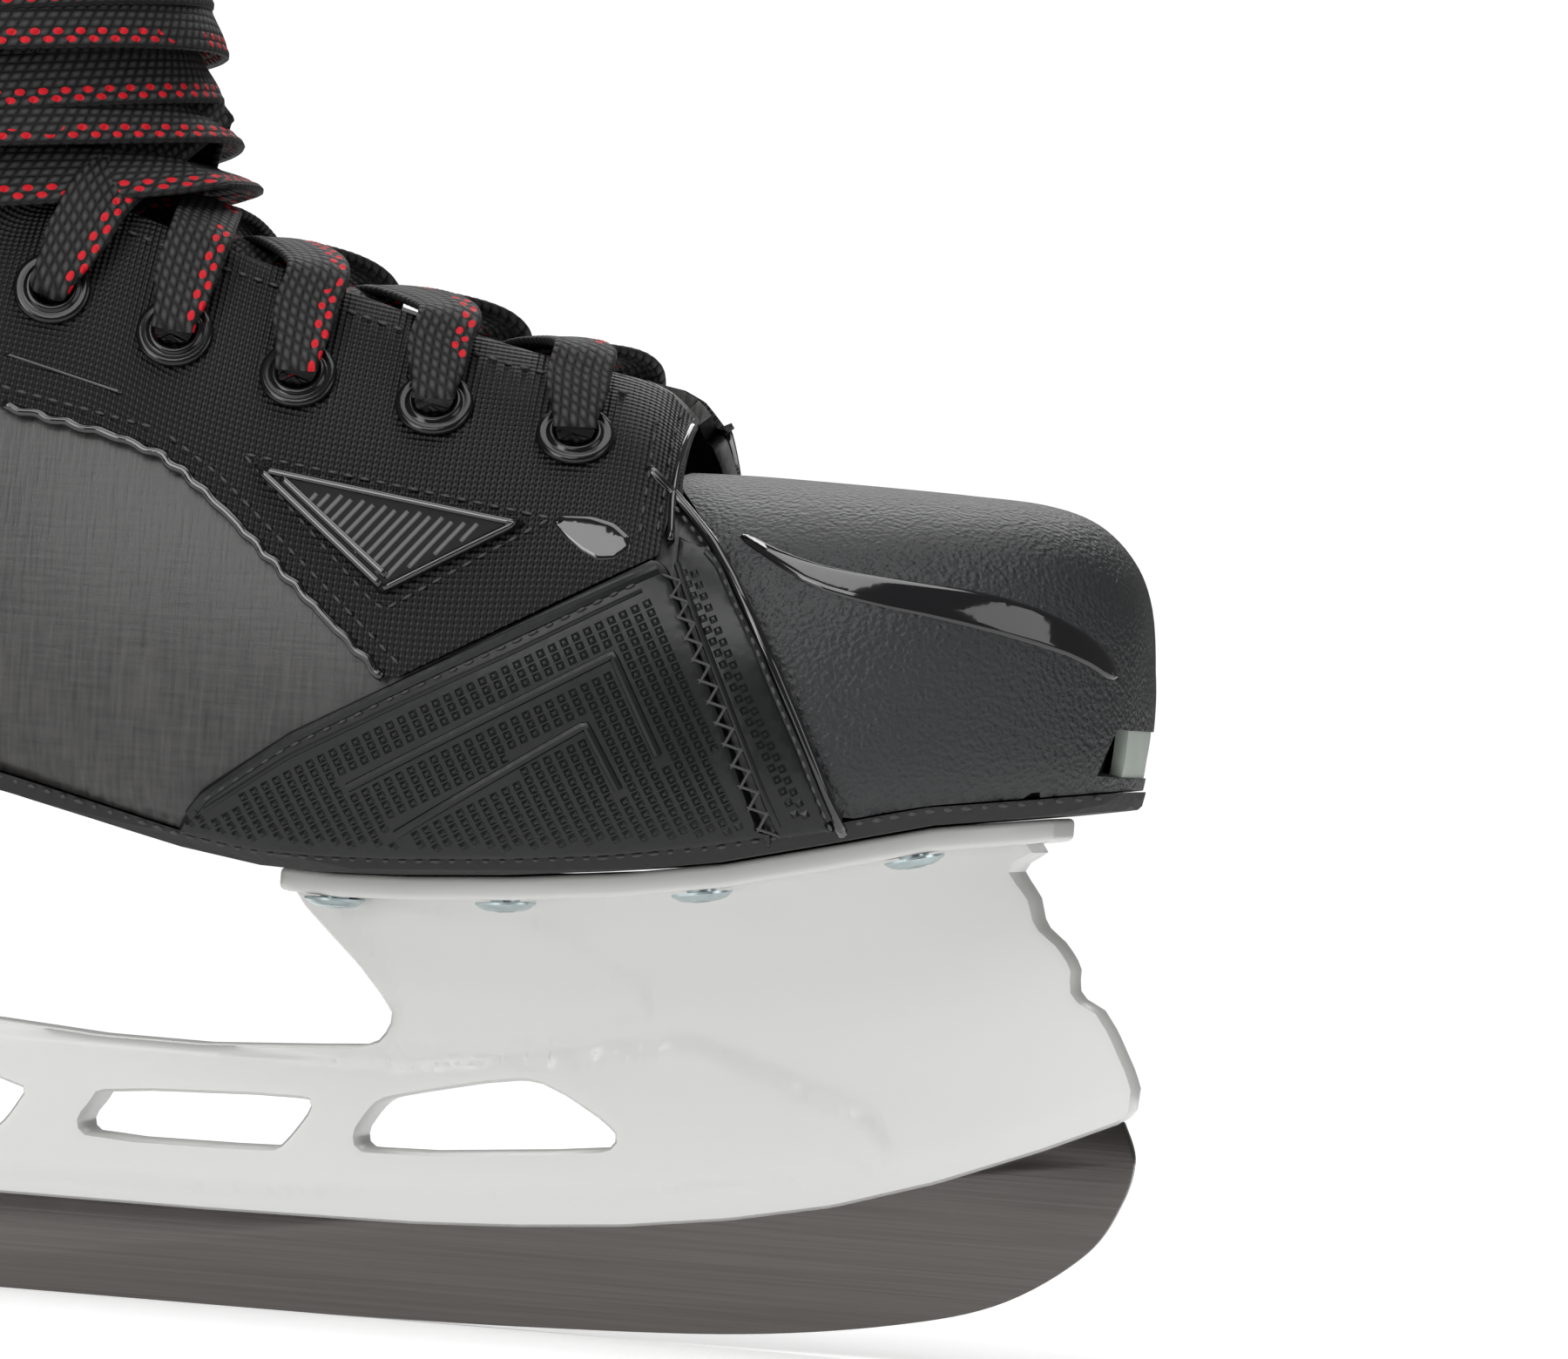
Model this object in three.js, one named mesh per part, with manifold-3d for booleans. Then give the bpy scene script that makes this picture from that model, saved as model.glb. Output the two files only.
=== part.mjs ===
// Ice hockey skate, right foot: laced boot, blade holder, quick-release runner.
// Millimetres. +X points to the toe, +Y to the inner (medial) side, +Z up. Z = 0 is the ice.
import * as THREE from 'three';
import { mergeVertices } from 'three/addons/utils/BufferGeometryUtils.js';
import Module from 'manifold-3d';

const wasm = await Module();
wasm.setup();

// ---------------------------------------------------------------- driving dimensions
const skateLength = 298.6;      // runner nose to runner tail
const skateHeight = 283;        // ice to the tip of the tongue
const forefootWidth = 97;       // boot shell across the ball of the foot
const drawnLength = 298.6;      // the sizes that the outlines below are drawn at
const drawnHeight = 283;
const drawnWidth = 97;

const seatGap = 0.3;            // clearance between pieces that rest on each other
const quarterWall = 2.4;        // composite side wall
const capWall = 3;              // moulded toe cap
const overlayWall = 1.2;        // eyestay and heel counter sheet
const panelWall = 1.6;          // rubbery forefoot panel and toe band
const badgeWall = 1;
const trimDepth = 1.2;          // gloss strip let into the toe cap
const outsoleThickness = 2.6;
const boardThickness = 2.2;
const footbedThickness = 4;
const linerWall = 4;
const guardWall = 4.5;
const tonguePadding = 7;
const throatDepth = 9.5;        // tongue below the facings where the lace runs under them

const runnerThickness = 3;
const slotDepth = 6.3;          // steel inside the holder
const runnerClearance = 0.35;
const runnerSwing = 9;          // degrees, tail down about the nose
const pinDiameter = 3;
const pinLength = 15;
const triggerWidth = 5;
const triggerSwing = 20;
const springWire = 0.8;
const guardFlex = 15;

const flangeThickness = 3.5;
const webHalfWidth = 6.4;
const rivetHead = 9;
const rivetShank = 4.4;
const rivetHeadHeight = 1.4;
const rivetInset = 5.4;         // rivet axis in from the flange's edge

const eyeletOuter = 11.5;
const eyeletBore = 5.8;
const eyeletBarrelWall = 0.6;
const eyeletFlange = 0.7;
const laceWidth = 9.5;
const laceThickness = 1.2;
const laceLift = 3.6;           // lace centre above the boot's surface
const tipDiameter = 3.6;
const tipLength = 22;

// ---------------------------------------------------------------- small helpers
const kx = skateLength / drawnLength;
const kz = skateHeight / drawnHeight;
const ky = forefootWidth / drawnWidth;
const drawn = (points) => points.map(([x, z]) => new THREE.Vector2(x * kx, z * kz));
const radians = THREE.MathUtils.degToRad;
const signedPower = (value, power) => Math.sign(value) * Math.abs(value) ** power;

function solidOf(geometry) {
  const plain = geometry.index ? geometry.toNonIndexed() : geometry.clone();
  plain.deleteAttribute('normal');
  plain.deleteAttribute('uv');
  const merged = mergeVertices(plain, 1e-5);
  return new wasm.Manifold(new wasm.Mesh({
    numProp: 3,
    vertProperties: new Float32Array(merged.attributes.position.array),
    triVerts: new Uint32Array(merged.index.array),
  }));
}

function geometryOf(solid) {
  const mesh = solid.getMesh();
  const geometry = new THREE.BufferGeometry();
  geometry.setAttribute('position', new THREE.BufferAttribute(mesh.vertProperties, 3));
  geometry.setIndex(new THREE.BufferAttribute(mesh.triVerts, 1));
  geometry.computeVertexNormals();
  return geometry;
}

// a side-view outline (x, z) pushed through from yLow to yHigh
function slab(outline, yLow, yHigh) {
  const depth = yHigh - yLow;
  const geometry = new THREE.ExtrudeGeometry(new THREE.Shape(outline), { depth, bevelEnabled: false });
  geometry.rotateX(Math.PI / 2).translate(0, yHigh, 0);
  return solidOf(geometry);
}

const wholeWidth = 90;
const through = (points) => slab(drawn(points), -wholeWidth, wholeWidth);
const sideOf = { lateral: -1, medial: 1 };
const halfOf = (side) => (sideOf[side] < 0
  ? (points) => slab(drawn(points), -wholeWidth, -seatGap / 2)
  : (points) => slab(drawn(points), seatGap / 2, wholeWidth));

function rod(radius, length, segments = 16) {
  return new THREE.CylinderGeometry(radius, radius, length, segments);
}

function grown(outline, gap) {
  const clockwise = THREE.ShapeUtils.area(outline) < 0 ? 1 : -1;
  return outline.map((point, index) => {
    const before = outline[(index + outline.length - 1) % outline.length];
    const after = outline[(index + 1) % outline.length];
    const along = after.clone().sub(before).normalize();
    const edge = after.clone().sub(point).normalize();
    const reach = (clockwise * gap) / Math.max(0.3, Math.abs(along.dot(edge)));
    return new THREE.Vector2(point.x - along.y * reach, point.y + along.x * reach);
  });
}

function joined(solids) {
  return solids.reduce((whole, next) => whole.add(next));
}

const group = new THREE.Group();

function add(name, shape, look) {
  const geometry = shape.isBufferGeometry ? shape : geometryOf(shape);
  const mesh = new THREE.Mesh(geometry, look);
  mesh.name = name;
  group.add(mesh);
}

function finish(color, roughness, metalness) {
  return new THREE.MeshStandardMaterial({ color, roughness, metalness });
}
const composite = finish(0x2b2b2c, 0.42, 0.1);
const nylon = finish(0x0e0e0f, 0.6, 0);
const capPlastic = finish(0x26272a, 0.75, 0);
const glossBlack = finish(0x060607, 0.12, 0);
const rubberyPlastic = finish(0x242729, 0.55, 0);
const paleBumper = finish(0xaab0aa, 0.5, 0);
const felt = finish(0x1b1b1c, 0.95, 0);
const lining = finish(0x17181a, 0.9, 0);
const soleBlack = finish(0x0b0b0b, 0.7, 0);
const boardGrey = finish(0x4a4a4a, 0.8, 0);
const holderWhite = finish(0xf0f1ee, 0.28, 0);
const runnerSteel = finish(0x4d4a49, 0.3, 0.95);
const springSteel = finish(0x9a9a9a, 0.3, 1);
const triggerBlack = finish(0x101011, 0.4, 0);
const rivetMetal = finish(0xb9cdd0, 0.3, 0.9);
const eyeletBlack = finish(0x08080a, 0.15, 0.4);
const laceBlack = finish(0x111112, 0.9, 0);
const tipClear = finish(0x1b1b1d, 0.2, 0);

// ---------------------------------------------------------------- boot surface
// Each station is a closed section that holds the Y direction and runs from a low or rear
// point to a high or front one: rearX, rearZ, frontX, frontZ, lateral and medial half-width,
// share of the way to the widest place, squareness of the low half and of the high half.
const toeStations = [
  [146.3, 90, 146.3, 107, 9, 9, 0.5, 2.4, 2.4],
  [145, 84.5, 145, 115.5, 16, 16, 0.46, 2.8, 2.5],
  [142, 82, 142, 121.6, 23, 23, 0.44, 3.2, 2.5],
  [136.5, 80.4, 136.5, 126.4, 30.5, 30, 0.43, 3.6, 2.5],
  [129, 79, 129, 128.6, 37, 35.5, 0.42, 3.8, 2.5],
  [118, 76.6, 118, 129.2, 43.3, 41, 0.42, 4, 2.5],
  [107, 73.8, 107, 129.5, 47.5, 45, 0.42, 4, 2.4],
];
const footStations = [
  [96, 70.6, 96, 130, 49.3, 47.2, 0.42, 4, 2.35],
  [87, 68.6, 86.6, 131.2, 49.5, 47.5, 0.42, 4, 2.3],
  [80, 67.4, 79.2, 135.8, 49.5, 47, 0.41, 4, 2.2],
  [74, 66.4, 72.8, 143, 49.2, 46.2, 0.39, 4, 2.1],
  [64, 65.4, 62.4, 147.4, 48.6, 44.6, 0.37, 4, 2.05],
  [46, 63.6, 43, 153, 46.8, 41.4, 0.34, 3.8, 2],
  [24, 63, 20, 160, 44, 38.2, 0.32, 3.6, 2],
  [0, 66.6, 6.4, 165.4, 41.6, 36.6, 0.31, 3.4, 2],
  [-26, 71.6, 0.6, 169, 39.6, 36, 0.32, 3.4, 2.05],
  [-56, 73, -2.4, 172, 38.6, 36.4, 0.34, 3.6, 2.1],
  [-86, 72.8, -4, 174.6, 38, 37, 0.37, 3.5, 2.15],
  [-116, 73.4, -5, 177.2, 38, 37.6, 0.4, 3.2, 2.2],
  [-134, 81, -5.6, 180.2, 38.2, 38.2, 0.42, 2.8, 2.2],
  [-143.4, 96, -6, 183.2, 38.6, 38.8, 0.44, 2.5, 2.25],
  [-145.4, 112, -6.6, 187.4, 39, 39.2, 0.46, 2.45, 2.25],
  [-139.4, 131, -7.4, 192.6, 39.6, 39.6, 0.47, 2.4, 2.3],
  [-131.4, 149, -8.4, 199.4, 40.4, 40.2, 0.47, 2.4, 2.3],
  [-126, 168, -9.4, 207.6, 41.4, 41, 0.47, 2.4, 2.3],
  [-123.6, 189, -10.4, 217, 42.6, 42, 0.47, 2.4, 2.3],
  [-123.6, 211, -11.4, 228, 44, 43.2, 0.46, 2.4, 2.3],
  [-125.4, 234, -12.2, 241, 45.4, 44.4, 0.46, 2.4, 2.3],
  [-128.6, 260, -10.4, 261, 46, 45, 0.46, 2.4, 2.3],
  [-133, 288, -3, 286, 46, 45, 0.46, 2.4, 2.3],
];
const capStations = [
  ...toeStations,
  [96, 70.6, 96, 129.7, 49.3, 47.2, 0.42, 4, 2.35],
  [86, 68.6, 86, 129.8, 49.5, 47.5, 0.42, 4, 2.3],
  [76, 66.8, 76, 129.6, 49.2, 46.6, 0.42, 4, 2.25],
  [68, 66, 68, 129.2, 48.6, 45.6, 0.42, 4, 2.25],
];
const bootStations = [...toeStations, ...footStations];
const toeBlend = 4;             // stations over which an offset turns from forward to outward

function stationAt(stations, u) {
  const last = stations.length - 1;
  const low = Math.min(Math.floor(u), last - 1);
  const t = u - low;
  const row = (index) => stations[Math.max(0, Math.min(last, index))];
  const [a, b, c, d] = [row(low - 1), row(low), row(low + 1), row(low + 2)];
  return b.map((value, k) => {
    const slopeIn = (c[k] - a[k]) / 2;
    const slopeOut = (d[k] - value) / 2;
    const t2 = t * t;
    const t3 = t2 * t;
    return (2 * t3 - 3 * t2 + 1) * value + (t3 - 2 * t2 + t) * slopeIn
      + (3 * t2 - 2 * t3) * c[k] + (t3 - t2) * slopeOut;
  });
}

// turn 0 is the lateral flank, a quarter turn the front or top, half a turn the medial flank
function surfacePoint(stations, u, turn, offset) {
  const station = stationAt(stations, u);
  const [rearX, rearZ, frontX, frontZ, lateral, medial, widest, lowSquare, highSquare] = station;
  const forward = Math.max(0, 1 - u / toeBlend) * offset;
  const outward = offset - forward;
  const rear = new THREE.Vector2(rearX * kx, rearZ * kz);
  const span = new THREE.Vector2(frontX * kx, frontZ * kz).sub(rear);
  const length = span.length();
  span.normalize();
  const centre = widest * length;
  const c = Math.cos(turn);
  const s = Math.sin(turn);
  const power = 2 / (s >= 0 ? highSquare : lowSquare);
  const reach = s >= 0 ? length - centre + outward : centre + outward;
  const along = centre + signedPower(s, power) * reach;
  const half = (c > 0 ? lateral : medial) * ky + outward;
  return new THREE.Vector3(rear.x + span.x * along + forward, -signedPower(c, power) * half,
    rear.y + span.y * along);
}

const ringSteps = 16;
const loftStops = [0, 1, 2, 3, 4, 5.5, 7, 8, 9, 10, 11, 12.5, 14, 15.5, 17, 18.5, 20, 21.5, 23, 25, 27, 28,
  29];
const capStops = [0, 1, 2, 3, 4, 5.5, 7, 8, 9, 10];

function loft(stations, offset) {
  const offsetAt = typeof offset === 'function' ? offset : () => offset;
  const stops = stations === capStations ? capStops : loftStops;
  const positions = [];
  const index = [];
  const rings = stops.length;
  for (const stop of stops) {
    for (let j = 0; j < ringSteps; j += 1) {
      const turn = (2 * Math.PI * j) / ringSteps;
      positions.push(...surfacePoint(stations, stop, turn, offsetAt(stop)).toArray());
    }
  }
  for (let i = 0; i < rings - 1; i += 1) {
    for (let j = 0; j < ringSteps; j += 1) {
      const k = (j + 1) % ringSteps;
      const [near, far] = [i * ringSteps, (i + 1) * ringSteps];
      const [a, b, c, d] = [near + j, near + k, far + k, far + j];
      index.push(a, b, c, a, c, d);
    }
  }
  for (const [ring, flip] of [[0, false], [rings - 1, true]]) {
    const middle = new THREE.Vector3();
    for (let j = 0; j < ringSteps; j += 1) {
      middle.add(new THREE.Vector3().fromArray(positions, (ring * ringSteps + j) * 3));
    }
    middle.divideScalar(ringSteps);
    const hub = positions.length / 3;
    positions.push(...middle.toArray());
    for (let j = 0; j < ringSteps; j += 1) {
      const [p, q] = [ring * ringSteps + j, ring * ringSteps + ((j + 1) % ringSteps)];
      index.push(...(flip ? [hub, p, q] : [hub, q, p]));
    }
  }
  const geometry = new THREE.BufferGeometry();
  geometry.setAttribute('position', new THREE.Float32BufferAttribute(positions, 3));
  geometry.setIndex(index);
  return solidOf(geometry);
}

const shell = (stations, outer, inner) => loft(stations, outer).subtract(loft(stations, inner));

// the boot's surface point whose side view is (x, z), with its outward normal
function onBoot(x, z, side, offset = 0) {
  const target = new THREE.Vector2(x * kx, z * kz);
  const flip = side === 'lateral' ? 0 : Math.PI;
  const turnOf = (v) => (side === 'lateral' ? v : flip - v);
  const miss = (u, v) => {
    const point = surfacePoint(bootStations, u, turnOf(v), offset);
    return (point.x - target.x) ** 2 + (point.z - target.y) ** 2;
  };
  let [bestU, bestV, best] = [0, 0, Infinity];
  for (let u = 0; u < bootStations.length - 1; u += 0.5) {
    for (let v = -1.5; v <= 1.5; v += 0.1) {
      const score = miss(u, v);
      if (score < best) [bestU, bestV, best] = [u, v, score];
    }
  }
  for (let step = 0.25; step > 1e-5; step /= 2) {
    for (const [du, dv] of [[step, 0], [-step, 0], [0, step / 5], [0, -step / 5]]) {
      while (miss(bestU + du, bestV + dv) < best) {
        bestU += du;
        bestV += dv;
        best = miss(bestU, bestV);
      }
    }
  }
  const point = surfacePoint(bootStations, bestU, turnOf(bestV), offset);
  const e = 0.02;
  const alongU = surfacePoint(bootStations, bestU + e, turnOf(bestV), offset).sub(point);
  const alongV = surfacePoint(bootStations, bestU, turnOf(bestV + e), offset).sub(point);
  const normal = alongU.cross(alongV).normalize();
  if (normal.y * sideOf[side] < 0) normal.negate();
  return { point, normal };
}

// ---------------------------------------------------------------- boot outlines, side view
const soleUnder = [[146, 84.6], [134, 82.6], [119, 80.3], [104, 76.4], [88.7, 72.6], [73.3, 70.1],
  [57.8, 68.4],
  [42, 67.2], [30, 66.7], [20, 66.9], [8, 68.7], [-5, 71.8], [-17, 74.6], [-32, 77.6], [-48, 79.4],
  [-70, 79.8],
  [-143, 79.8]];
const raised = (line, height) => line.map(([x, z]) => [x, z + height / kz]);
const strip = (low, high) => [...raised(soleUnder, low), ...raised(soleUnder, high).reverse()];
const soleLineFrom = (line, x0, x1) => line.filter(([x]) => x <= x0 && x >= x1);
const capRear = [[73.6, 142], [74.4, 129], [80, 124.2], [87.3, 116.9], [94.9, 104.7], [102.4, 90.1],
  [107.6, 78.4]];
const shifted = (line, dx) => line.map(([x, z]) => [x + dx, z]);
const facingEdge = [[78.9, 127], [77.7, 137], [74.2, 140.7], [70.8, 142.3], [52.4, 145.5], [36.5, 149.2],
  [20.4, 153.6], [4, 157.8], [-9, 162], [-18, 170], [-21.6, 182], [-23, 205], [-25.4, 226], [-31, 234.4]];
const cuffLine = [[-44, 236.6], [-66, 236], [-90, 231.6]];
const guardBase = [[-90, 231.6], [-104, 225.4], [-118, 218.4], [-128, 216.4], [-150, 216.4]];

// ---------------------------------------------------------------- quarters
const deep = 50;                 // below every boot piece: the floor cut trims what reaches it
const aboveFloorAt = (height) => through([...raised(soleUnder, outsoleThickness + height), [-160, 83],
  [-160, 300], [160, 300], [160, 88]]);
const aboveFloor = aboveFloorAt(seatGap);
const quarterOutline = [
  ...facingEdge, ...cuffLine, ...guardBase.slice(1), [-150, deep], [108, deep],
  ...shifted(capRear.slice(2), -seatGap).reverse(),
];
const throatHalf = 18;           // the facings stand this far from the middle at the toe end
const throatCut = slab(drawn([[50, 134], [50, 180], [100, 180], [100, 126],
  [70, 126]]), -throatHalf, throatHalf);
const quarterShell = shell(bootStations, 0, -quarterWall).subtract(throatCut);

// ---------------------------------------------------------------- eyelets
const eyeletPlaces = [[62.8, 132], [41.5, 135.2], [20.8, 138.3], [1.6, 143.3], [-17.3, 148.7],
  [-34.4, 160.6],
  [-42.4, 180], [-45, 201], [-47, 222]];
const lacedEyelets = 5;
const stayTop = seatGap + overlayWall;
const eyeletHoleRadius = eyeletBore / 2 + eyeletBarrelWall + seatGap;

function turnTo(geometry, point, normal) {
  const spin = new THREE.Quaternion().setFromUnitVectors(new THREE.Vector3(0, 1, 0), normal);
  return geometry.applyQuaternion(spin).translate(point.x, point.y, point.z);
}

const eyeletSeats = {};
for (const side of Object.keys(sideOf)) {
  eyeletSeats[side] = eyeletPlaces.map(([x, z]) => onBoot(x, z, side));
}
const eyeletSides = 8;
const eyeletDrill = eyeletHoleRadius / Math.cos(Math.PI / eyeletSides);
const drillLength = 16;
const eyeletHoles = (side) => joined(eyeletSeats[side].map(({ point, normal }) =>
  solidOf(turnTo(rod(eyeletDrill, drillLength, eyeletSides), point, normal))));
const eyeletCuts = { lateral: eyeletHoles('lateral'), medial: eyeletHoles('medial') };

const eyeletTop = stayTop + seatGap + 0.25 + eyeletFlange;

function eyelet() {
  const bore = eyeletBore / 2;
  const barrel = bore + eyeletBarrelWall;
  const top = eyeletTop - eyeletFlange;
  const profile = [[bore, -quarterWall - 0.5], [barrel, -quarterWall - 0.5], [barrel, top],
    [eyeletOuter / 2, top], [eyeletOuter / 2 - 0.3, top + eyeletFlange], [bore, top + eyeletFlange],
    [bore, -quarterWall - 0.5]];
  return new THREE.LatheGeometry(profile.map(([r, y]) => new THREE.Vector2(r, y)), eyeletSides);
}

for (const side of Object.keys(sideOf)) {
  const half = halfOf(side);
  add(`quarter_${side}`, quarterShell.intersect(half(quarterOutline)).intersect(aboveFloor)
    .subtract(eyeletCuts[side]), composite);
}

// ---------------------------------------------------------------- eyestays, panels, badges, heel counter
const seamGap = 0.5;            // open seam between overlays that lie side by side
const stayLow = [[-67, 236], [-65, 200], [-62, 172], [-55, 150], [-40, 136.4], [-22, 131.4], [0.2, 127.2],
  [9.3, 121.4], [25.1, 107.9], [39.8, 95.2], [77.8, 116.5]];
const stayOutline = [...facingEdge, [-44, 236.6], ...stayLow];
const panelOutline = [[7.4, deep], [8.6, 71.5], [12.4, 77.2], [25.6, 86.9], [40.2, 95], [77.4, 115.8],
  [79.5, 114.6],
  [87.9, 97.9], [97.4, 75.6], [97.4, deep]];
const bandOutline = [[80.2, 119], [85, 117.6], [86.4, 116.4], [94, 104.2], [101.5, 89.8], [106.6, 78],
  [98.4, 75.6], [89, 97.7], [80.4, 115]];
const badgeOutline = [[16.4, 125.4], [58, 119.8], [37.9, 107.8]];
const counterOutline = [[-66, 60], [-70, 84], [-76, 104], [-92, 128], [-108, 146], [-124, 160], [-150, 168],
  [-152, 60]];
const stayShell = shell(bootStations, stayTop, seatGap).subtract(throatCut);
const panelShell = shell(bootStations, seatGap + panelWall, seatGap);
const badgeShell = shell(bootStations, stayTop + seatGap + badgeWall, stayTop + seatGap);
const panelGap = slab(grown(drawn(panelOutline), seamGap), -wholeWidth, wholeWidth);
const bandGap = slab(grown(drawn(bandOutline), seamGap), -wholeWidth, wholeWidth);

for (const side of Object.keys(sideOf)) {
  const half = halfOf(side);
  const stay = stayShell.intersect(half(stayOutline)).subtract(eyeletCuts[side]);
  add(`eyestay_${side}`, stay.subtract(panelGap).subtract(bandGap), nylon);
  const panels = panelShell.intersect(aboveFloor);
  add(`forefoot_panel_${side}`, panels.intersect(half(panelOutline)), rubberyPlastic);
  add(`toe_band_${side}`, panels.intersect(half(bandOutline)), rubberyPlastic);
  add(`badge_${side}`, badgeShell.intersect(half(badgeOutline)), glossBlack);
  eyeletSeats[side].forEach(({ point, normal }, index) => {
    add(`eyelet_${side}_${index + 1}`, turnTo(eyelet(), point, normal), eyeletBlack);
  });
}
add('heel_counter', stayShell.intersect(through(counterOutline)).intersect(aboveFloor), composite);

// ---------------------------------------------------------------- toe cap, trim and bumper
const trimOutline = [[88.2, 119.8], [88.6, 121.2], [95.9, 118.3], [103.7, 116.6], [113.8, 115.7],
  [125, 114.9],
  [133.7, 112.8], [140.4, 109.4], [143.6, 105.4], [148, 103], [148, 100.5], [143.4, 102.6],
  [138.8, 105.8], [130.5, 108.1],
  [119.3, 110.2], [109.3, 111.5], [100.4, 113.4], [94.2, 116.7]];
const capOutline = [...shifted(capRear, seatGap), [109, deep], [152, deep], [152, 142]];
const notchLow = 88.6;
const notchHigh = 96.5;
const notchHalf = 32;           // the notch runs across the whole toe
const notchDepth = 141.6;
const notchOutline = [[notchDepth, notchLow], [152, notchLow], [152, notchHigh],
  [notchDepth + 3, notchHigh]];
const trimCut = slab(grown(drawn(trimOutline), seatGap), -wholeWidth, wholeWidth)
  .intersect(shell(capStations, 2, -trimDepth - seatGap));
const cap = shell(capStations, 0, -capWall).intersect(through(capOutline)).intersect(aboveFloor);
const notch = slab(drawn(notchOutline), -notchHalf, notchHalf);
const ribHalf = 9;              // a rib inside the toe backs the bumper
const ribOutline = [[140.2, notchLow + 1.2], [143.5, notchLow + 1.2], [143.5, notchHigh + 4], [140.2, notchHigh + 4]];
const rib = slab(drawn(ribOutline), -ribHalf, ribHalf).intersect(aboveFloor);
add('toe_cap', cap.subtract(trimCut).subtract(notch).add(rib), capPlastic);
add('toe_trim', shell(capStations, 0.2, -trimDepth).intersect(through(trimOutline)), glossBlack);
const bumperOutline = [[notchDepth + 1.2, notchLow + seatGap], [152, notchLow + seatGap],
  [152, notchHigh - seatGap], [notchDepth + 3.3, notchHigh - seatGap]];
const bumperHalf = 14.7;
const bumperSetBack = 0.4;
const bumperDepth = 2;
const bumperRoom = slab(drawn(bumperOutline), -bumperHalf, bumperHalf);
const bumperShell = shell(capStations, -bumperSetBack, -bumperSetBack - bumperDepth);
add('toe_bumper', bumperShell.intersect(bumperRoom), paleBumper);

// ---------------------------------------------------------------- sole, board, footbed, lining
const rivetRows = { front: [29, 55.8, 84.8, 114.9], rear: [-68, -93, -117] };
const flangeHalf = [[20, 15], [30, 22], [42, 27.5], [58, 31.5], [84, 33.5], [104, 32.5], [118, 29.5],
  [128, 24],
  [135, 17]];
const heelFlangeHalf = [[-50, 17], [-58, 23.5], [-70, 27.5], [-94, 28.5], [-116, 26.5], [-128, 21.5],
  [-136, 14]];

function lineAt(line, x) {
  const sorted = [...line].sort((a, b) => a[0] - b[0]);
  const high = Math.max(1, sorted.findIndex(([px]) => px >= x));
  const [[x0, v0], [x1, v1]] = [sorted[high - 1], sorted[high]];
  return v0 + ((x - x0) / (x1 - x0)) * (v1 - v0);
}

const rivetSeats = [];
for (const [place, row] of Object.entries(rivetRows)) {
  const edge = place === 'front' ? flangeHalf : heelFlangeHalf;
  row.forEach((x, index) => {
    for (const side of Object.keys(sideOf)) {
      const y = sideOf[side] * (lineAt(edge, x) * ky - rivetInset);
      const slope = (lineAt(soleUnder, x + 3) - lineAt(soleUnder, x - 3)) / 6;
      rivetSeats.push({ name: `rivet_${place}_${side}_${index + 1}`, slope: slope * (kz / kx),
        point: new THREE.Vector3(x * kx, y, lineAt(soleUnder, x) * kz) });
    }
  });
}
const rivetTop = outsoleThickness + seatGap + boardThickness;
const tiltUp = ({ slope }) => new THREE.Vector3(-slope, 0, 1).normalize();

const rivetSides = 8;
const rivetHoleRadius = (rivetShank / 2 + seatGap) / Math.cos(Math.PI / rivetSides);

function rivet() {
  const under = -flangeThickness - seatGap * 2;
  const profile = [[0, under - rivetHeadHeight], [rivetHead / 2 - 1.3, under - rivetHeadHeight],
    [rivetHead / 2, under], [rivetShank / 2, under], [rivetShank / 2, rivetTop], [0, rivetTop]];
  return new THREE.LatheGeometry(profile.map(([r, y]) => new THREE.Vector2(r, y)), rivetSides);
}
const rivetHoles = joined(rivetSeats.map((seat) =>
  solidOf(turnTo(rod(rivetHoleRadius, 26, rivetSides), seat.point, tiltUp(seat)))));
for (const seat of rivetSeats) add(seat.name, turnTo(rivet(), seat.point, tiltUp(seat)), rivetMetal);

const boardLow = outsoleThickness + seatGap;
const bedLow = boardLow + boardThickness + seatGap;
const sole = loft(bootStations, 0.8).intersect(through(strip(0, outsoleThickness)));
add('outsole', sole.subtract(rivetHoles), soleBlack);
const boardOffset = -capWall - seatGap;
const boardStrip = through(strip(boardLow, boardLow + boardThickness));
const board = loft(bootStations, boardOffset).intersect(boardStrip);
add('insole_board', board.subtract(rivetHoles), boardGrey);
const linerOuter = -quarterWall - seatGap;
const linerInner = linerOuter - linerWall;
const linerFront = shifted(capRear.slice(2), -1.4);
const linerOutline = [
  [-58, 158], [-66, 180], [-68, 206], [-70, 238.6], [-87, 235.4],
  [-89.4, 231], ...guardBase.slice(1), [-152, deep],
  [106, deep], ...[...linerFront].reverse(), [70, 122], [40, 122], [4, 128], [-24, 134], [-44, 144],
];
add('liner', shell(bootStations, linerOuter, linerInner).intersect(through(linerOutline))
  .intersect(aboveFloorAt(bedLow - outsoleThickness)), lining);
const bedStrip = through(strip(bedLow, bedLow + footbedThickness));
const bed = loft(bootStations, linerInner - seatGap).intersect(bedStrip);
add('footbed', bed, felt);

// ---------------------------------------------------------------- tendon guard and tongue
const guardOutline = [...raised(guardBase, 0.6), [-152, 275], [-120, 270], [-108, 262], [-98, 248]];
const guardPivot = new THREE.Vector3(-126 * kx, 0, 215.4 * kz);
add('tendon_guard', shell(bootStations, 0, -guardWall).intersect(through(guardOutline)), rubberyPlastic);

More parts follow.
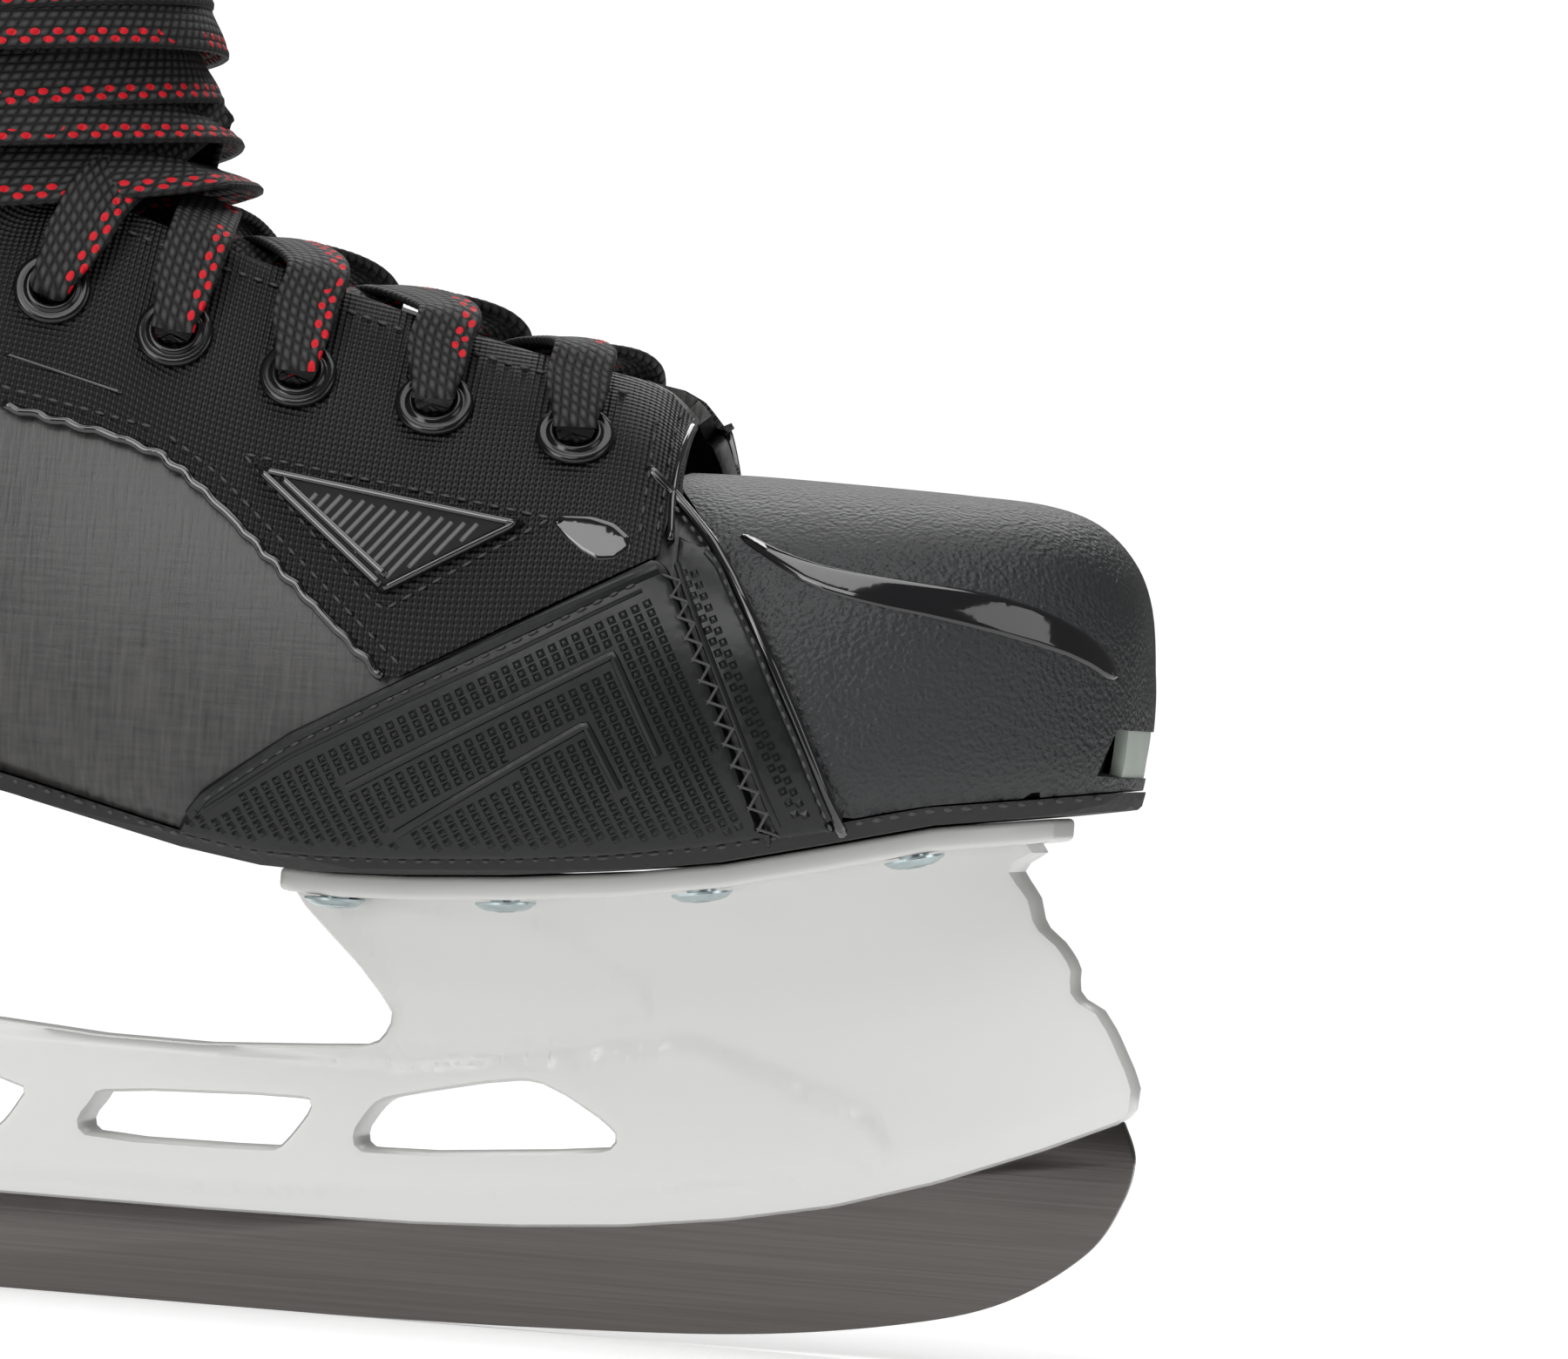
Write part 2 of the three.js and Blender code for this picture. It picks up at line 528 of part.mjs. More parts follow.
const throatEnd = 18;           // station where the tongue stops running low under the lace
const shaftStart = 22;
const tongueDrop = (u) => -throatDepth + (throatDepth - quarterWall - 0.6)
  * THREE.MathUtils.smoothstep(u, throatEnd, shaftStart);
const tongueSheet = loft(bootStations, tongueDrop)
  .subtract(loft(bootStations, (u) => tongueDrop(u) - tonguePadding));
const tongueOutline = [[72.6, 148], [71, 132], [50, 133], [24, 139], [0, 146], [-20, 156], [-34, 172],
  [-42, 196],
  [-44, 224], [-44, 250], [-38, 280], [-20, 283], [20, 283], [20, 160]];
const ridgeOutline = [[16, 186], [-20, 194], [-26, 232], [-24, 262], [20, 268]];
const ridgeHalf = 15;
const ridgeRise = 2.4;
const ridgeCore = loft(bootStations, (u) => tongueDrop(u) - tonguePadding / 2);
const ridge = loft(bootStations, ridgeRise).subtract(ridgeCore)
  .intersect(slab(drawn(ridgeOutline), -ridgeHalf, ridgeHalf));
add('tongue', tongueSheet.intersect(through(tongueOutline)).add(ridge), felt);

// ---------------------------------------------------------------- lace
// a flat band through points, each with its own outward direction, width and thickness
function band(nodes, stepsPerSpan = 2) {
  const curve = new THREE.CatmullRomCurve3(nodes.map(({ at }) => at), false, 'centripetal');
  const steps = (nodes.length - 1) * stepsPerSpan;
  const positions = [];
  const index = [];
  for (let i = 0; i <= steps; i += 1) {
    const t = i / steps;
    const low = Math.min(Math.floor(t * (nodes.length - 1)), nodes.length - 2);
    const share = t * (nodes.length - 1) - low;
    const [p, q] = [nodes[low], nodes[low + 1]];
    const out = p.out.clone().lerp(q.out, share).normalize();
    const along = curve.getTangent(t);
    const across = new THREE.Vector3().crossVectors(out, along).normalize();
    const up = new THREE.Vector3().crossVectors(along, across).normalize();
    const width = THREE.MathUtils.lerp(p.width, q.width, share) / 2;
    const thick = THREE.MathUtils.lerp(p.thick, q.thick, share) / 2;
    const centre = curve.getPoint(t);
    for (const [a, b] of [[-1, -1], [1, -1], [1, 1], [-1, 1]]) {
      const corner = centre.clone().addScaledVector(across, a * width).addScaledVector(up, b * thick);
      positions.push(...corner.toArray());
    }
  }
  for (let i = 0; i < steps; i += 1) {
    for (let j = 0; j < 4; j += 1) {
      const [a, b] = [i * 4 + j, i * 4 + ((j + 1) % 4)];
      index.push(a, b, b + 4, a, b + 4, a + 4);
    }
  }
  const end = steps * 4;
  index.push(0, 2, 1, 0, 3, 2, end, end + 1, end + 2, end, end + 2, end + 3);
  const geometry = new THREE.BufferGeometry();
  geometry.setAttribute('position', new THREE.Float32BufferAttribute(positions, 3));
  geometry.setIndex(index);
  return solidOf(geometry);
}

const facingAt = (x) => lineAt(facingEdge.slice(3, 10), x);
const sleeveInner = laceLift + 0.9;
const flat = { width: laceWidth, thick: laceThickness };
const bunched = { width: eyeletBore * 0.58, thick: eyeletBore * 0.5 };
const tucked = { width: laceWidth * 0.6, thick: laceThickness * 1.6 };
const lifted = (seat, height, size) => ({
  at: seat.point.clone().addScaledVector(seat.normal, height), out: seat.normal, ...size });
const underLace = -quarterWall - 3.6;
const insideBoot = -quarterWall - 3;
const crossingStations = [11.7, 12.7, 13.7, 15];
const crossingDepth = -4.9;
const overEdge = [60, 39.5, 19.5, 2, -12];    // where each strap passes over the facing's edge
function onRidge(u, offset) {   // a point over the middle of the throat
  const at = surfacePoint(bootStations, u, Math.PI / 2, offset);
  const out = at.clone().sub(surfacePoint(bootStations, u, -Math.PI / 2, offset)).normalize();
  return { at, out, ...flat };
}

const strands = [];
for (const [side, other] of [['lateral', 'medial'], ['medial', 'lateral']]) {
  for (let i = 0; i < lacedEyelets; i += 1) {
    const hole = eyeletSeats[side][i];
    const edgeX = overEdge[i];
    const edgeSeat = onBoot(edgeX, facingAt(edgeX) - 0.6, side);
    const half = onBoot((eyeletPlaces[i][0] + edgeX) / 2, (eyeletPlaces[i][1] + facingAt(edgeX)) / 2, side);
    const start = [
      lifted(hole, insideBoot, bunched),
      lifted(hole, eyeletTop + bunched.thick / 2 + seatGap, bunched),
      lifted(half, laceLift + 0.5, flat),
      lifted(edgeSeat, laceLift, flat),
    ];
    if (i < lacedEyelets - 1) {
      const next = eyeletSeats[other][i + 1];
      const middle = onRidge(crossingStations[i], crossingDepth);
      const underX = (overEdge[i + 1] + middle.at.x / kx) / 2;
      const under = onBoot(underX, facingAt(underX) - 1, other);
      const below = [lifted(under, underLace, flat), lifted(next, insideBoot, tucked)];
      strands.push(band([...start, middle, ...below]));
    } else {
      strands.push(band([...start, onRidge(18, sleeveInner + 0.5)]));
    }
  }
}
const firstX = eyeletPlaces[0][0];
strands.push(band([
  lifted(eyeletSeats.lateral[0], insideBoot, tucked),
  lifted(onBoot(firstX, 140.6, 'lateral'), underLace, tucked), onRidge(11, underLace),
  lifted(onBoot(firstX, 140.6, 'medial'), underLace, tucked),
  lifted(eyeletSeats.medial[0], insideBoot, tucked),
]));

// the turns round the ankle lie on each other as one sleeve, lower at the back
const sleeveOutline = [[20, 162.5], [20, 199], [-160, 183], [-160, 148]];
const sleeveOuter = sleeveInner + laceThickness * 1.2;
const sleeve = shell(bootStations, sleeveOuter, sleeveInner).intersect(through(sleeveOutline));
// the bands close over small pockets where they cross, which a pressed lace doesn't have
const laceBodies = joined([...strands, sleeve]).decompose().filter((body) => body.volume() > 0);
add('lace', joined(laceBodies), laceBlack);

// the two ends are tucked under the turns, pointing down the flanks
for (const [side, x, z] of [['lateral', -78, 164], ['medial', -72, 164.4]]) {
  const seat = onBoot(x, z - tipLength, side);
  const tipRod = new THREE.CylinderGeometry(tipDiameter / 2, tipDiameter / 2, tipLength, 10);
  tipRod.rotateX(Math.PI / 2);
  const outward = new THREE.Vector3(0, sideOf[side], 0);
  const lean = new THREE.Quaternion().setFromUnitVectors(outward, seat.normal);
  const centre = seat.point.clone().addScaledVector(seat.normal, tipDiameter / 2 + seatGap);
  tipRod.applyQuaternion(lean).translate(centre.x, centre.y, centre.z);
  add(`lace_tip_${side}`, tipRod, tipClear);
}

// ---------------------------------------------------------------- runner
const runnerLow = [[31, 0], [61, 0.6], [92, 2.1], [115, 5.3], [131, 9.8], [143, 18], [147.9, 26],
  [149.3, 32.6],
  [147.4, 37.9]];
const runnerTail = [[-31, 0], [-61, 0.6], [-92, 1.9], [-115, 4.4], [-131, 8.6], [-143, 16.6],
  [-147.9, 24.6],
  [-149.3, 32.2], [-147.6, 37.6]];
const holderLow = [[147.4, 38.2], [135.8, 33], [120.6, 27], [105.3, 22.2], [89.8, 19], [74.1, 16.8],
  [58.4, 15.5],
  [42.6, 14.7], [10.7, 14.3], [-21.3, 14.3], [-52, 14.9], [-80, 16.4], [-100, 18.8], [-118, 22.8],
  [-133, 29.4],
  [-147.4, 38]];
const tangFront = -84;
const tangRear = -98;
const tangTop = 50;
const hookTop = 47;
const smooth = (points, steps) => new THREE.SplineCurve(drawn(points)).getPoints(steps);
const slotLine = drawn(holderLow).map((p) => new THREE.Vector2(p.x, p.y + slotDepth));
const slotBetween = (high, low) => slotLine.filter((p) => p.x < high * kx && p.x > low * kx);
const hookOutline = [[143.6, 42.4], [134, 45], [126, hookTop], [113, hookTop], [112, 40], [117, 34]];
const tangOutline = [[tangFront, 22], [tangFront, 40], [tangFront - 3, 42.4], [tangFront - 3, 45],
  [tangFront, 46.4],
  [tangFront - 1.4, tangTop], [tangRear + 1.4, tangTop], [tangRear, tangTop - 2], [tangRear, 26]];
const runnerOutline = [
  ...smooth(runnerLow, 14), ...drawn(hookOutline),
  ...slotBetween(112, tangFront), ...drawn(tangOutline), ...slotBetween(tangRear, -146),
  ...smooth(runnerTail, 14).reverse(),
];
add('runner', slab(runnerOutline, -runnerThickness / 2, runnerThickness / 2), runnerSteel);

// ---------------------------------------------------------------- holder
const holderFront = [[134.6, 82.2], [131.5, 80.4], [131.9, 79.5], [131.1, 78.4], [132.1, 77], [129, 75],
  [128.8, 73.9], [131.7, 70.4], [132.9, 66.4], [136.4, 63.7], [138.7, 60.6], [138.7, 57.4], [139.3, 56.1],
  [142.7, 54.4], [144.9, 51.4], [147.9, 45.8], [148.9, 43.3], [148.7, 40]];
const archLine = [[-50.4, 79.2], [-52.4, 76.4], [-57.4, 68.4], [-61.4, 60], [-63, 52], [-61, 46.4],
  [-56, 43],
  [-46, 41.2], [-23.3, 40.3], [-7.2, 39.2], [8.8, 39.1], [24.7, 40.1], [32.6, 40.7], [35.2, 41.4],
  [37, 43.8],
  [37.1, 46.1], [35.3, 48.6], [31.7, 52.8], [23.1, 60.8], [20.6, 64.2], [19.4, 66.4]];
const heelBack = [[-148.7, 43], [-146.2, 50], [-142, 57], [-137.6, 65], [-135, 73], [-134.6, 79.4]];
const windows = [
  [[-5.9, 31.1], [25.3, 32.4], [26.5, 31.2], [22.2, 24.9], [20.6, 24.3], [-7.4, 24], [-9.1, 26.1],
  [-6.7, 29.3]],
  [[38.5, 33.4], [56.7, 37.6], [62, 37], [72, 31.3], [72.4, 29.1], [70.6, 27.9], [35.2, 24.8], [32.6, 26.8],
    [35.9, 32.3]],
  [[-16.3, 32], [-45.5, 32.6], [-46.8, 31.2], [-42.2, 24.6], [-22.1, 24.1], [-20.4, 25]],
  [[-55.6, 34.2], [-70, 36.6], [-75, 35.8], [-79, 32], [-79, 29.6], [-77.4, 28.2], [-53, 25.2],
  [-50.2, 26.8]],
];
const flangeTop = raised(soleUnder, -seatGap);
const holderOutline = [
  ...[...holderFront].reverse(), ...soleLineFrom(flangeTop, 134, 20), ...[...archLine].reverse(),
  ...soleLineFrom(flangeTop, -52, -134), ...[...heelBack].reverse(), ...[...holderLow].reverse(),
];

// tower sections along the skate: x, half-width of the tower just under its flange
const towerHalf = [[-150, 5.6], [-144, 8], [-136, 13], [-124, 13.5], [-98, 17.5], [-70, 16.5], [-58, 13],
  [-50, 9], [-44, 6.4], [12, 6.4], [22, 8], [36, 14], [55, 20], [80, 22.5], [100, 21.5], [115, 17.5],
  [128, 12],
  [140, 8], [150, 5.6]];
const flare = [[0, 0], [0.3, 0.06], [0.55, 0.22], [0.78, 0.52], [1, 1]];
const webTop = 39;
const webFoot = 4;              // height of the web's narrowed foot round the steel
const webFootNarrow = 1.6;
const flangeLip = 0.4;          // least overhang of the flange beyond its tower
const trimAllowance = 4;        // the block stands this far above the sole line before it is cut

function holderBlock() {
  const xs = [-150, -144, -136, -124, -98, -70, -58, -50, -44, 12, 22, 29, 36, 45, 57, 73, 89, 104, 115, 122,
    128, 134, 140, 150];
  const positions = [];
  const index = [];
  const sectionAt = (x) => {
    const top = lineAt([[160, 85], ...flangeTop, [-160, 79.5]], x) * kz;
    const under = top - flangeThickness;
    const tower = lineAt([[-160, 5.6], ...towerHalf, [160, 5.6]], x) * ky;
    const edge = x > 0 ? flangeHalf : heelFlangeHalf;
    const flange = Math.max(tower + flangeLip, (x < 20 && x > -50 ? 0 : lineAt([[-160, 6],
    [160, 6], ...edge], x)) * ky);
    const low = lineAt([[-160, 38], ...holderLow, [160, 38]], x) * kz;
    const waist = Math.max(webTop * kz, low + webFoot * 2);
    const side = [[webHalfWidth - webFootNarrow, low - webFoot / 2], [webHalfWidth, low + webFoot]];
    for (const [rise, spread] of flare) {
      side.push([webHalfWidth + (tower - webHalfWidth) * spread, waist + (under - waist) * rise]);
    }
    side.push([flange, under], [flange, top + trimAllowance]);
    return side;
  };
  const count = 2 * (flare.length + 4);
  for (const x of xs) {
    const side = sectionAt(x);
    const ring = [...side, ...[...side].reverse().map(([y, z]) => [-y, z])];
    for (const [y, z] of ring) positions.push(x * kx, y, z);
  }
  for (let i = 0; i < xs.length - 1; i += 1) {
    for (let j = 0; j < count; j += 1) {
      const k = (j + 1) % count;
      const [a, b, c, d] = [i * count + j, i * count + k, (i + 1) * count + k, (i + 1) * count + j];
      index.push(a, b, c, a, c, d);
    }
  }
  const half = count / 2;
  for (const [base, flip] of [[0, false], [(xs.length - 1) * count, true]]) {
    for (let j = 0; j < half - 1; j += 1) {
      const [p, q, r, s] = [base + j, base + j + 1, base + count - 2 - j, base + count - 1 - j];
      index.push(...(flip ? [p, q, r, p, r, s] : [p, r, q, p, s, r]));
    }
  }
  const geometry = new THREE.BufferGeometry();
  geometry.setAttribute('position', new THREE.Float32BufferAttribute(positions, 3));
  geometry.setIndex(index);
  return solidOf(geometry);
}

function turned(outline, pivot, degrees) {
  const angle = radians(degrees);
  return outline.map((p) => p.clone().rotateAround(pivot, angle));
}

const runnerPivot = new THREE.Vector2(147.2 * kx, 38.4 * kz);
const slotHalf = runnerThickness / 2 + runnerClearance;
const runnerRoom = [slab(grown(runnerOutline, runnerClearance), -slotHalf, slotHalf)];
const sweepSteps = 3;
for (const tab of [tangOutline, hookOutline]) {
  const reach = grown(drawn(tab), runnerClearance);
  const tabAt = (step) => slab(turned(reach, runnerPivot, (runnerSwing * step) / sweepSteps), -slotHalf, slotHalf);
  for (let step = 0; step < sweepSteps; step += 1) {
    runnerRoom.push(wasm.Manifold.hull([tabAt(step), tabAt(step + 1)]));
  }
}

// ---------------------------------------------------------------- release trigger
const triggerPivot = new THREE.Vector2(-71 * kx, 57 * kz);
const bossRadius = pinDiameter / 2 + 2.4;
const triggerOutline = drawn([[-67.4, 60], [-64, 58], [-60.6, 54], [-58, 50.4], [-54.6, 47.8],
  [-55.4, 45.6],
  [-59.6, 46.4], [-63.4, 50], [-66.4, 53], [-69, 53.2], [-74, 49.6], [-79, 45.4], [-83.4, 44.8],
  [-83.4, 47.2],
  [-79.6, 48.6], [-75.4, 53.6], [-75, 60], [-71, 61.4]]);
const triggerBlade = slab(triggerOutline, -triggerWidth / 2, triggerWidth / 2);
const pinHole = (gap) => {
  const bore = rod(pinDiameter / 2 + gap, 60, 16);
  bore.translate(triggerPivot.x, 0, triggerPivot.y);
  return solidOf(bore);
};
add('release_trigger', triggerBlade.subtract(pinHole(seatGap)), triggerBlack);
const pin = rod(pinDiameter / 2, pinLength, 16);
pin.translate(triggerPivot.x, 0, triggerPivot.y);
add('trigger_pin', pin, springSteel);

const springInner = pinDiameter / 2 + 0.4;
const springTurns = 2;
const springStart = triggerWidth / 2 + springWire / 2 + 0.4;
const springPitch = springWire + 0.3;
class CoilCurve extends THREE.Curve {
  getPoint(t, target = new THREE.Vector3()) {
    const angle = 2 * Math.PI * springTurns * t;
    const radius = springInner + springWire / 2;
    return target.set(
      triggerPivot.x + radius * Math.cos(angle),
      springStart + springPitch * springTurns * t,
      triggerPivot.y + radius * Math.sin(angle),
    );
  }
}
const wireSides = 6;
const wireRing = new THREE.EllipseCurve(0, 0, springWire / 2, springWire / 2).getPoints(wireSides);
const wire = new THREE.Shape(wireRing.slice(0, wireSides));
add('trigger_spring', new THREE.ExtrudeGeometry(wire, { extrudePath: new CoilCurve(), steps: 20,
  bevelEnabled: false }), springSteel);

const triggerRoom = [];
const triggerRoomLow = -triggerWidth / 2 - 0.5;
const triggerRoomHigh = springStart + springPitch * springTurns + springWire;
for (let step = 0; step <= sweepSteps; step += 1) {
  const moved = turned(grown(triggerOutline, 0.6), triggerPivot, (triggerSwing * step) / sweepSteps);
  triggerRoom.push(slab(moved, triggerRoomLow, triggerRoomHigh));
}
const springRoom = rod(springInner + springWire + 0.5, triggerRoomHigh, 16);
springRoom.translate(triggerPivot.x, triggerRoomHigh / 2, triggerPivot.y);

let holder = holderBlock().intersect(through(holderOutline));
for (const outline of windows) holder = holder.subtract(through(outline));
holder = holder.subtract(joined(runnerRoom)).subtract(rivetHoles);
holder = holder.subtract(joined(triggerRoom)).subtract(solidOf(springRoom)).subtract(pinHole(seatGap));
add('blade_holder', holder, holderWhite);

export default group;
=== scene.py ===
# Right ice hockey skate: laced boot, white blade holder, steel runner with its quick release.
# Tables are in millimetres, meshes in metres. +X points to the toe, +Y to the inner side, +Z up.
import math
import random

import bmesh
import bpy
import numpy as np
from mathutils import Matrix, Vector
from mathutils.kdtree import KDTree


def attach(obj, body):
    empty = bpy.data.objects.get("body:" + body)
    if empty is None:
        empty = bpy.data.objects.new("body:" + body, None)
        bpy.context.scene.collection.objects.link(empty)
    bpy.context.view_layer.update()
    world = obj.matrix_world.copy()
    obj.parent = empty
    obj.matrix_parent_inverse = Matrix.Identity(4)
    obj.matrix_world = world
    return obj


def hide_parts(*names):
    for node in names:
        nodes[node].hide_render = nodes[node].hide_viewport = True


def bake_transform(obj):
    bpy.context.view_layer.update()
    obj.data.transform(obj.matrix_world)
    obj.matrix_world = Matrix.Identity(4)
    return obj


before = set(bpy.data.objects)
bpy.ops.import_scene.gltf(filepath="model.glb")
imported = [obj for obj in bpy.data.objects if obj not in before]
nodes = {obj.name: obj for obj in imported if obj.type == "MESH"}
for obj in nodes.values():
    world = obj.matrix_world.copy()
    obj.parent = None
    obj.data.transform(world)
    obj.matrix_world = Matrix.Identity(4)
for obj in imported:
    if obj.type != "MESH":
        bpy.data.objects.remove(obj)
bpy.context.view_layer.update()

mm = 0.001
dice = random.Random(41)
sides = ("lateral", "medial")


# camera and lights

shot = {
    "aim": (91.5, 0.0, 99.9), "distance": 1600.0, "azimuth": 7.5, "elevation": 0.0,
    "roll": 4.3, "lens": 246.4, "sensor": 36.0,
}


def aimCamera():
    az, el, roll = (math.radians(shot[k]) for k in ("azimuth", "elevation", "roll"))
    back = Vector((math.sin(az) * math.cos(el), -math.cos(az) * math.cos(el), math.sin(el)))
    right = Vector((0, 0, 1)).cross(back).normalized()
    up = back.cross(right)
    leanRight = right * math.cos(roll) + up * math.sin(roll)
    leanUp = up * math.cos(roll) - right * math.sin(roll)
    data = bpy.data.cameras.new("camera")
    data.lens, data.sensor_width = shot["lens"], shot["sensor"]
    data.clip_end = 20
    camera = bpy.data.objects.new("camera", data)
    turn = Matrix((leanRight, leanUp, back)).transposed().to_4x4()
    camera.matrix_world = Matrix.Translation((Vector(shot["aim"]) + back * shot["distance"]) * mm) @ turn
    bpy.context.scene.collection.objects.link(camera)
    bpy.context.scene.camera = camera


studio = [   # name, place (m), size (m), power (W), aimed at
    ("keyLight", (-0.35, -1.5, 1.35), (1.3, 1.0), 16, (0.0, 0, 0.1)),
    ("frontLight", (1.7, -0.7, 0.7), (0.9, 1.3), 6, (0.1, 0, 0.1)),
    ("backLight", (-0.2, 1.5, 1.2), (1.6, 0.8), 12, (0.0, 0, 0.12)),
    ("sideLight", (-0.62, -1.25, 0.5), (0.5, 0.6), 5.5, (-0.02, 0, 0.1)),
    ("topLight", (0.15, -0.1, 1.7), (1.1, 1.1), 11, (0.05, 0, 0.1)),
]
surround = {"strength": 0.14, "backdrop": 1.05}


def lightStudio():
    for name, place, size, power, target in studio:
        data = bpy.data.lights.new(name, "AREA")
        data.shape = "RECTANGLE"
        data.size, data.size_y = size
        data.energy = power
        lamp = bpy.data.objects.new(name, data)
        lamp.location = place
        lamp.rotation_euler = (Vector(target) - Vector(place)).to_track_quat("-Z", "Y").to_euler()
        bpy.context.scene.collection.objects.link(lamp)
    world = bpy.data.worlds.new("studio")
    world.use_nodes = True
    tree = world.node_tree
    around = tree.nodes["Background"]
    around.inputs["Color"].default_value = (1, 1, 1, 1)
    around.inputs["Strength"].default_value = surround["strength"]
    behind = tree.nodes.new("ShaderNodeBackground")
    behind.inputs["Color"].default_value = (1, 1, 1, 1)
    behind.inputs["Strength"].default_value = surround["backdrop"]
    chosen = tree.nodes.new("ShaderNodeMixShader")
    tree.links.new(tree.nodes.new("ShaderNodeLightPath").outputs["Is Camera Ray"], chosen.inputs[0])
    tree.links.new(around.outputs[0], chosen.inputs[1])
    tree.links.new(behind.outputs[0], chosen.inputs[2])
    tree.links.new(chosen.outputs[0], tree.nodes["World Output"].inputs[0])
    bpy.context.scene.world = world
    bpy.context.scene.view_settings.view_transform = "Standard"


aimCamera()
lightStudio()


# helpers for the materials, then the materials that several pieces share

def put(tree, kind, inputs=None, **settings):
    # a new node with its settings, and each input linked or given a value
    node = tree.nodes.new("ShaderNode" + kind)
    for key, value in settings.items():
        setattr(node, key, value)
    for key, value in (inputs or {}).items():
        if isinstance(value, bpy.types.NodeSocket):
            tree.links.new(value, node.inputs[key])
        else:
            node.inputs[key].default_value = value
    return node


def maths(tree, operation, a, b=0.0, clamp=False):
    return put(tree, "Math", {0: a, 1: b}, operation=operation, use_clamp=clamp).outputs[0]


def plus(tree, a, b):
    return maths(tree, "ADD", a, b)


def times(tree, a, b):
    return maths(tree, "MULTIPLY", a, b)


def blendColors(tree, share, a, b):
    return put(tree, "Mix", {0: share, 6: a, 7: b}, data_type="RGBA").outputs[2]


def effect(name, sockets, results):
    tree = bpy.data.node_groups.new(name, "ShaderNodeTree")
    for label, kind in sockets:
        tree.interface.new_socket(name=label, in_out="INPUT", socket_type="NodeSocket" + kind)
    for label in results:
        tree.interface.new_socket(name=label, in_out="OUTPUT", socket_type="NodeSocketFloat")
    return tree, tree.nodes.new("NodeGroupInput"), tree.nodes.new("NodeGroupOutput")


def makeGrain():
    # fine moulded grain: soft cells broken up by noise, with a slow mottle beside it
    tree, given, result = effect("mouldedGrain", [("Place", "Vector"), ("Scale", "Float")], ["Height", "Mottle"])
    cells = put(tree, "TexVoronoi", {"Vector": given.outputs[0], "Scale": given.outputs[1]}, feature="SMOOTH_F1")
    fine = put(tree, "TexNoise", {"Vector": given.outputs[0], "Scale": given.outputs[1], "Detail": 4.0})
    slow = times(tree, given.outputs[1], 0.02)
    wide = put(tree, "TexNoise", {"Vector": given.outputs[0], "Scale": slow, "Detail": 3.0})
    height = plus(tree, times(tree, cells.outputs["Distance"], -0.7), fine.outputs[0])
    tree.links.new(height, result.inputs[0])
    tree.links.new(wide.outputs[0], result.inputs[1])
    return tree


def makeWeave():
    # dot weave: crossing diagonal ribs that leave small raised dots
    tree, given, result = effect("dotWeave", [("Place", "Vector"), ("Pitch", "Float")], ["Height", "Dots"])
    parts = put(tree, "SeparateXYZ", {0: given.outputs[0]})
    turn = maths(tree, "DIVIDE", 6.28318, given.outputs[1])   # a full turn for each pitch
    waves = []
    for sign in ("ADD", "SUBTRACT"):
        lane = maths(tree, sign, parts.outputs[0], parts.outputs[1])
        waves.append(maths(tree, "COSINE", times(tree, lane, turn)))
    product = times(tree, waves[0], waves[1])
    total = times(tree, plus(tree, product, 1.0), 0.5)
    sharp = maths(tree, "POWER", total, 4.0)
    tree.links.new(total, result.inputs[0])
    tree.links.new(sharp, result.inputs[1])
    return tree


grainEffect = makeGrain()
weaveEffect = makeWeave()


def startMaterial(name, roughness, metallic=0.0, **sockets):
    material = bpy.data.materials.new(name)
    material.use_nodes = True
    tree = material.node_tree
    shader = tree.nodes["Principled BSDF"]
    shader.inputs["Roughness"].default_value = roughness
    shader.inputs["Metallic"].default_value = metallic
    for key, value in sockets.items():
        shader.inputs[key.replace("_", " ")].default_value = value
    return material, tree, shader


def objectPlace(tree):
    return put(tree, "TexCoord").outputs["Object"]


def sheetPlace(tree):
    return put(tree, "UVMap", uv_map="sheet").outputs[0]


def bumped(tree, shader, height, strength, distance):
    bump = put(tree, "Bump", {"Height": height, "Strength": strength, "Distance": distance})
    tree.links.new(bump.outputs[0], shader.inputs["Normal"])


def mouldedMaterial(name, dark, light, roughness, grainScale, depth, spread=0.08, **sockets):
    material, tree, shader = startMaterial(name, roughness, **sockets)
    grain = put(tree, "Group", {"Place": objectPlace(tree), "Scale": grainScale}, node_tree=grainEffect)
    color = blendColors(tree, grain.outputs["Mottle"], (*dark, 1), (*light, 1))
    tree.links.new(color, shader.inputs["Base Color"])
    rough = plus(tree, times(tree, grain.outputs["Mottle"], spread), roughness - spread / 2)
    tree.links.new(rough, shader.inputs["Roughness"])
    if depth:
        bumped(tree, shader, grain.outputs["Height"], 0.8, depth)
    return material


def wovenMaterial(name, dark, light, roughness, pitch, depth, **sockets):
    material, tree, shader = startMaterial(name, roughness, **sockets)
    weave = put(tree, "Group", {"Place": sheetPlace(tree), "Pitch": pitch}, node_tree=weaveEffect)
    color = blendColors(tree, weave.outputs["Dots"], (*dark, 1), (*light, 1))
    tree.links.new(color, shader.inputs["Base Color"])
    bumped(tree, shader, weave.outputs["Height"], 0.9, depth)
    return material


capMaterial = mouldedMaterial("capPlastic", (0.010, 0.011, 0.012), (0.020, 0.021, 0.023), 0.45, 1300, 0.0005)
panelMaterial = mouldedMaterial("panelRubber", (0.004, 0.0045, 0.005), (0.009, 0.0095, 0.010), 0.34, 700, 0.00004,
                                Specular_IOR_Level=0.35)
glossMaterial = mouldedMaterial("glossBlack", (0.004, 0.004, 0.005), (0.008, 0.008, 0.009), 0.09, 120, 0,
                                spread=0.05, Coat_Weight=0.6)
holderMaterial = mouldedMaterial("holderPlastic", (0.60, 0.60, 0.585), (0.66, 0.66, 0.645), 0.3, 260, 0.00002)
soleMaterial = mouldedMaterial("soleEdge", (0.006, 0.006, 0.006), (0.016, 0.016, 0.016), 0.75, 500, 0.0002)
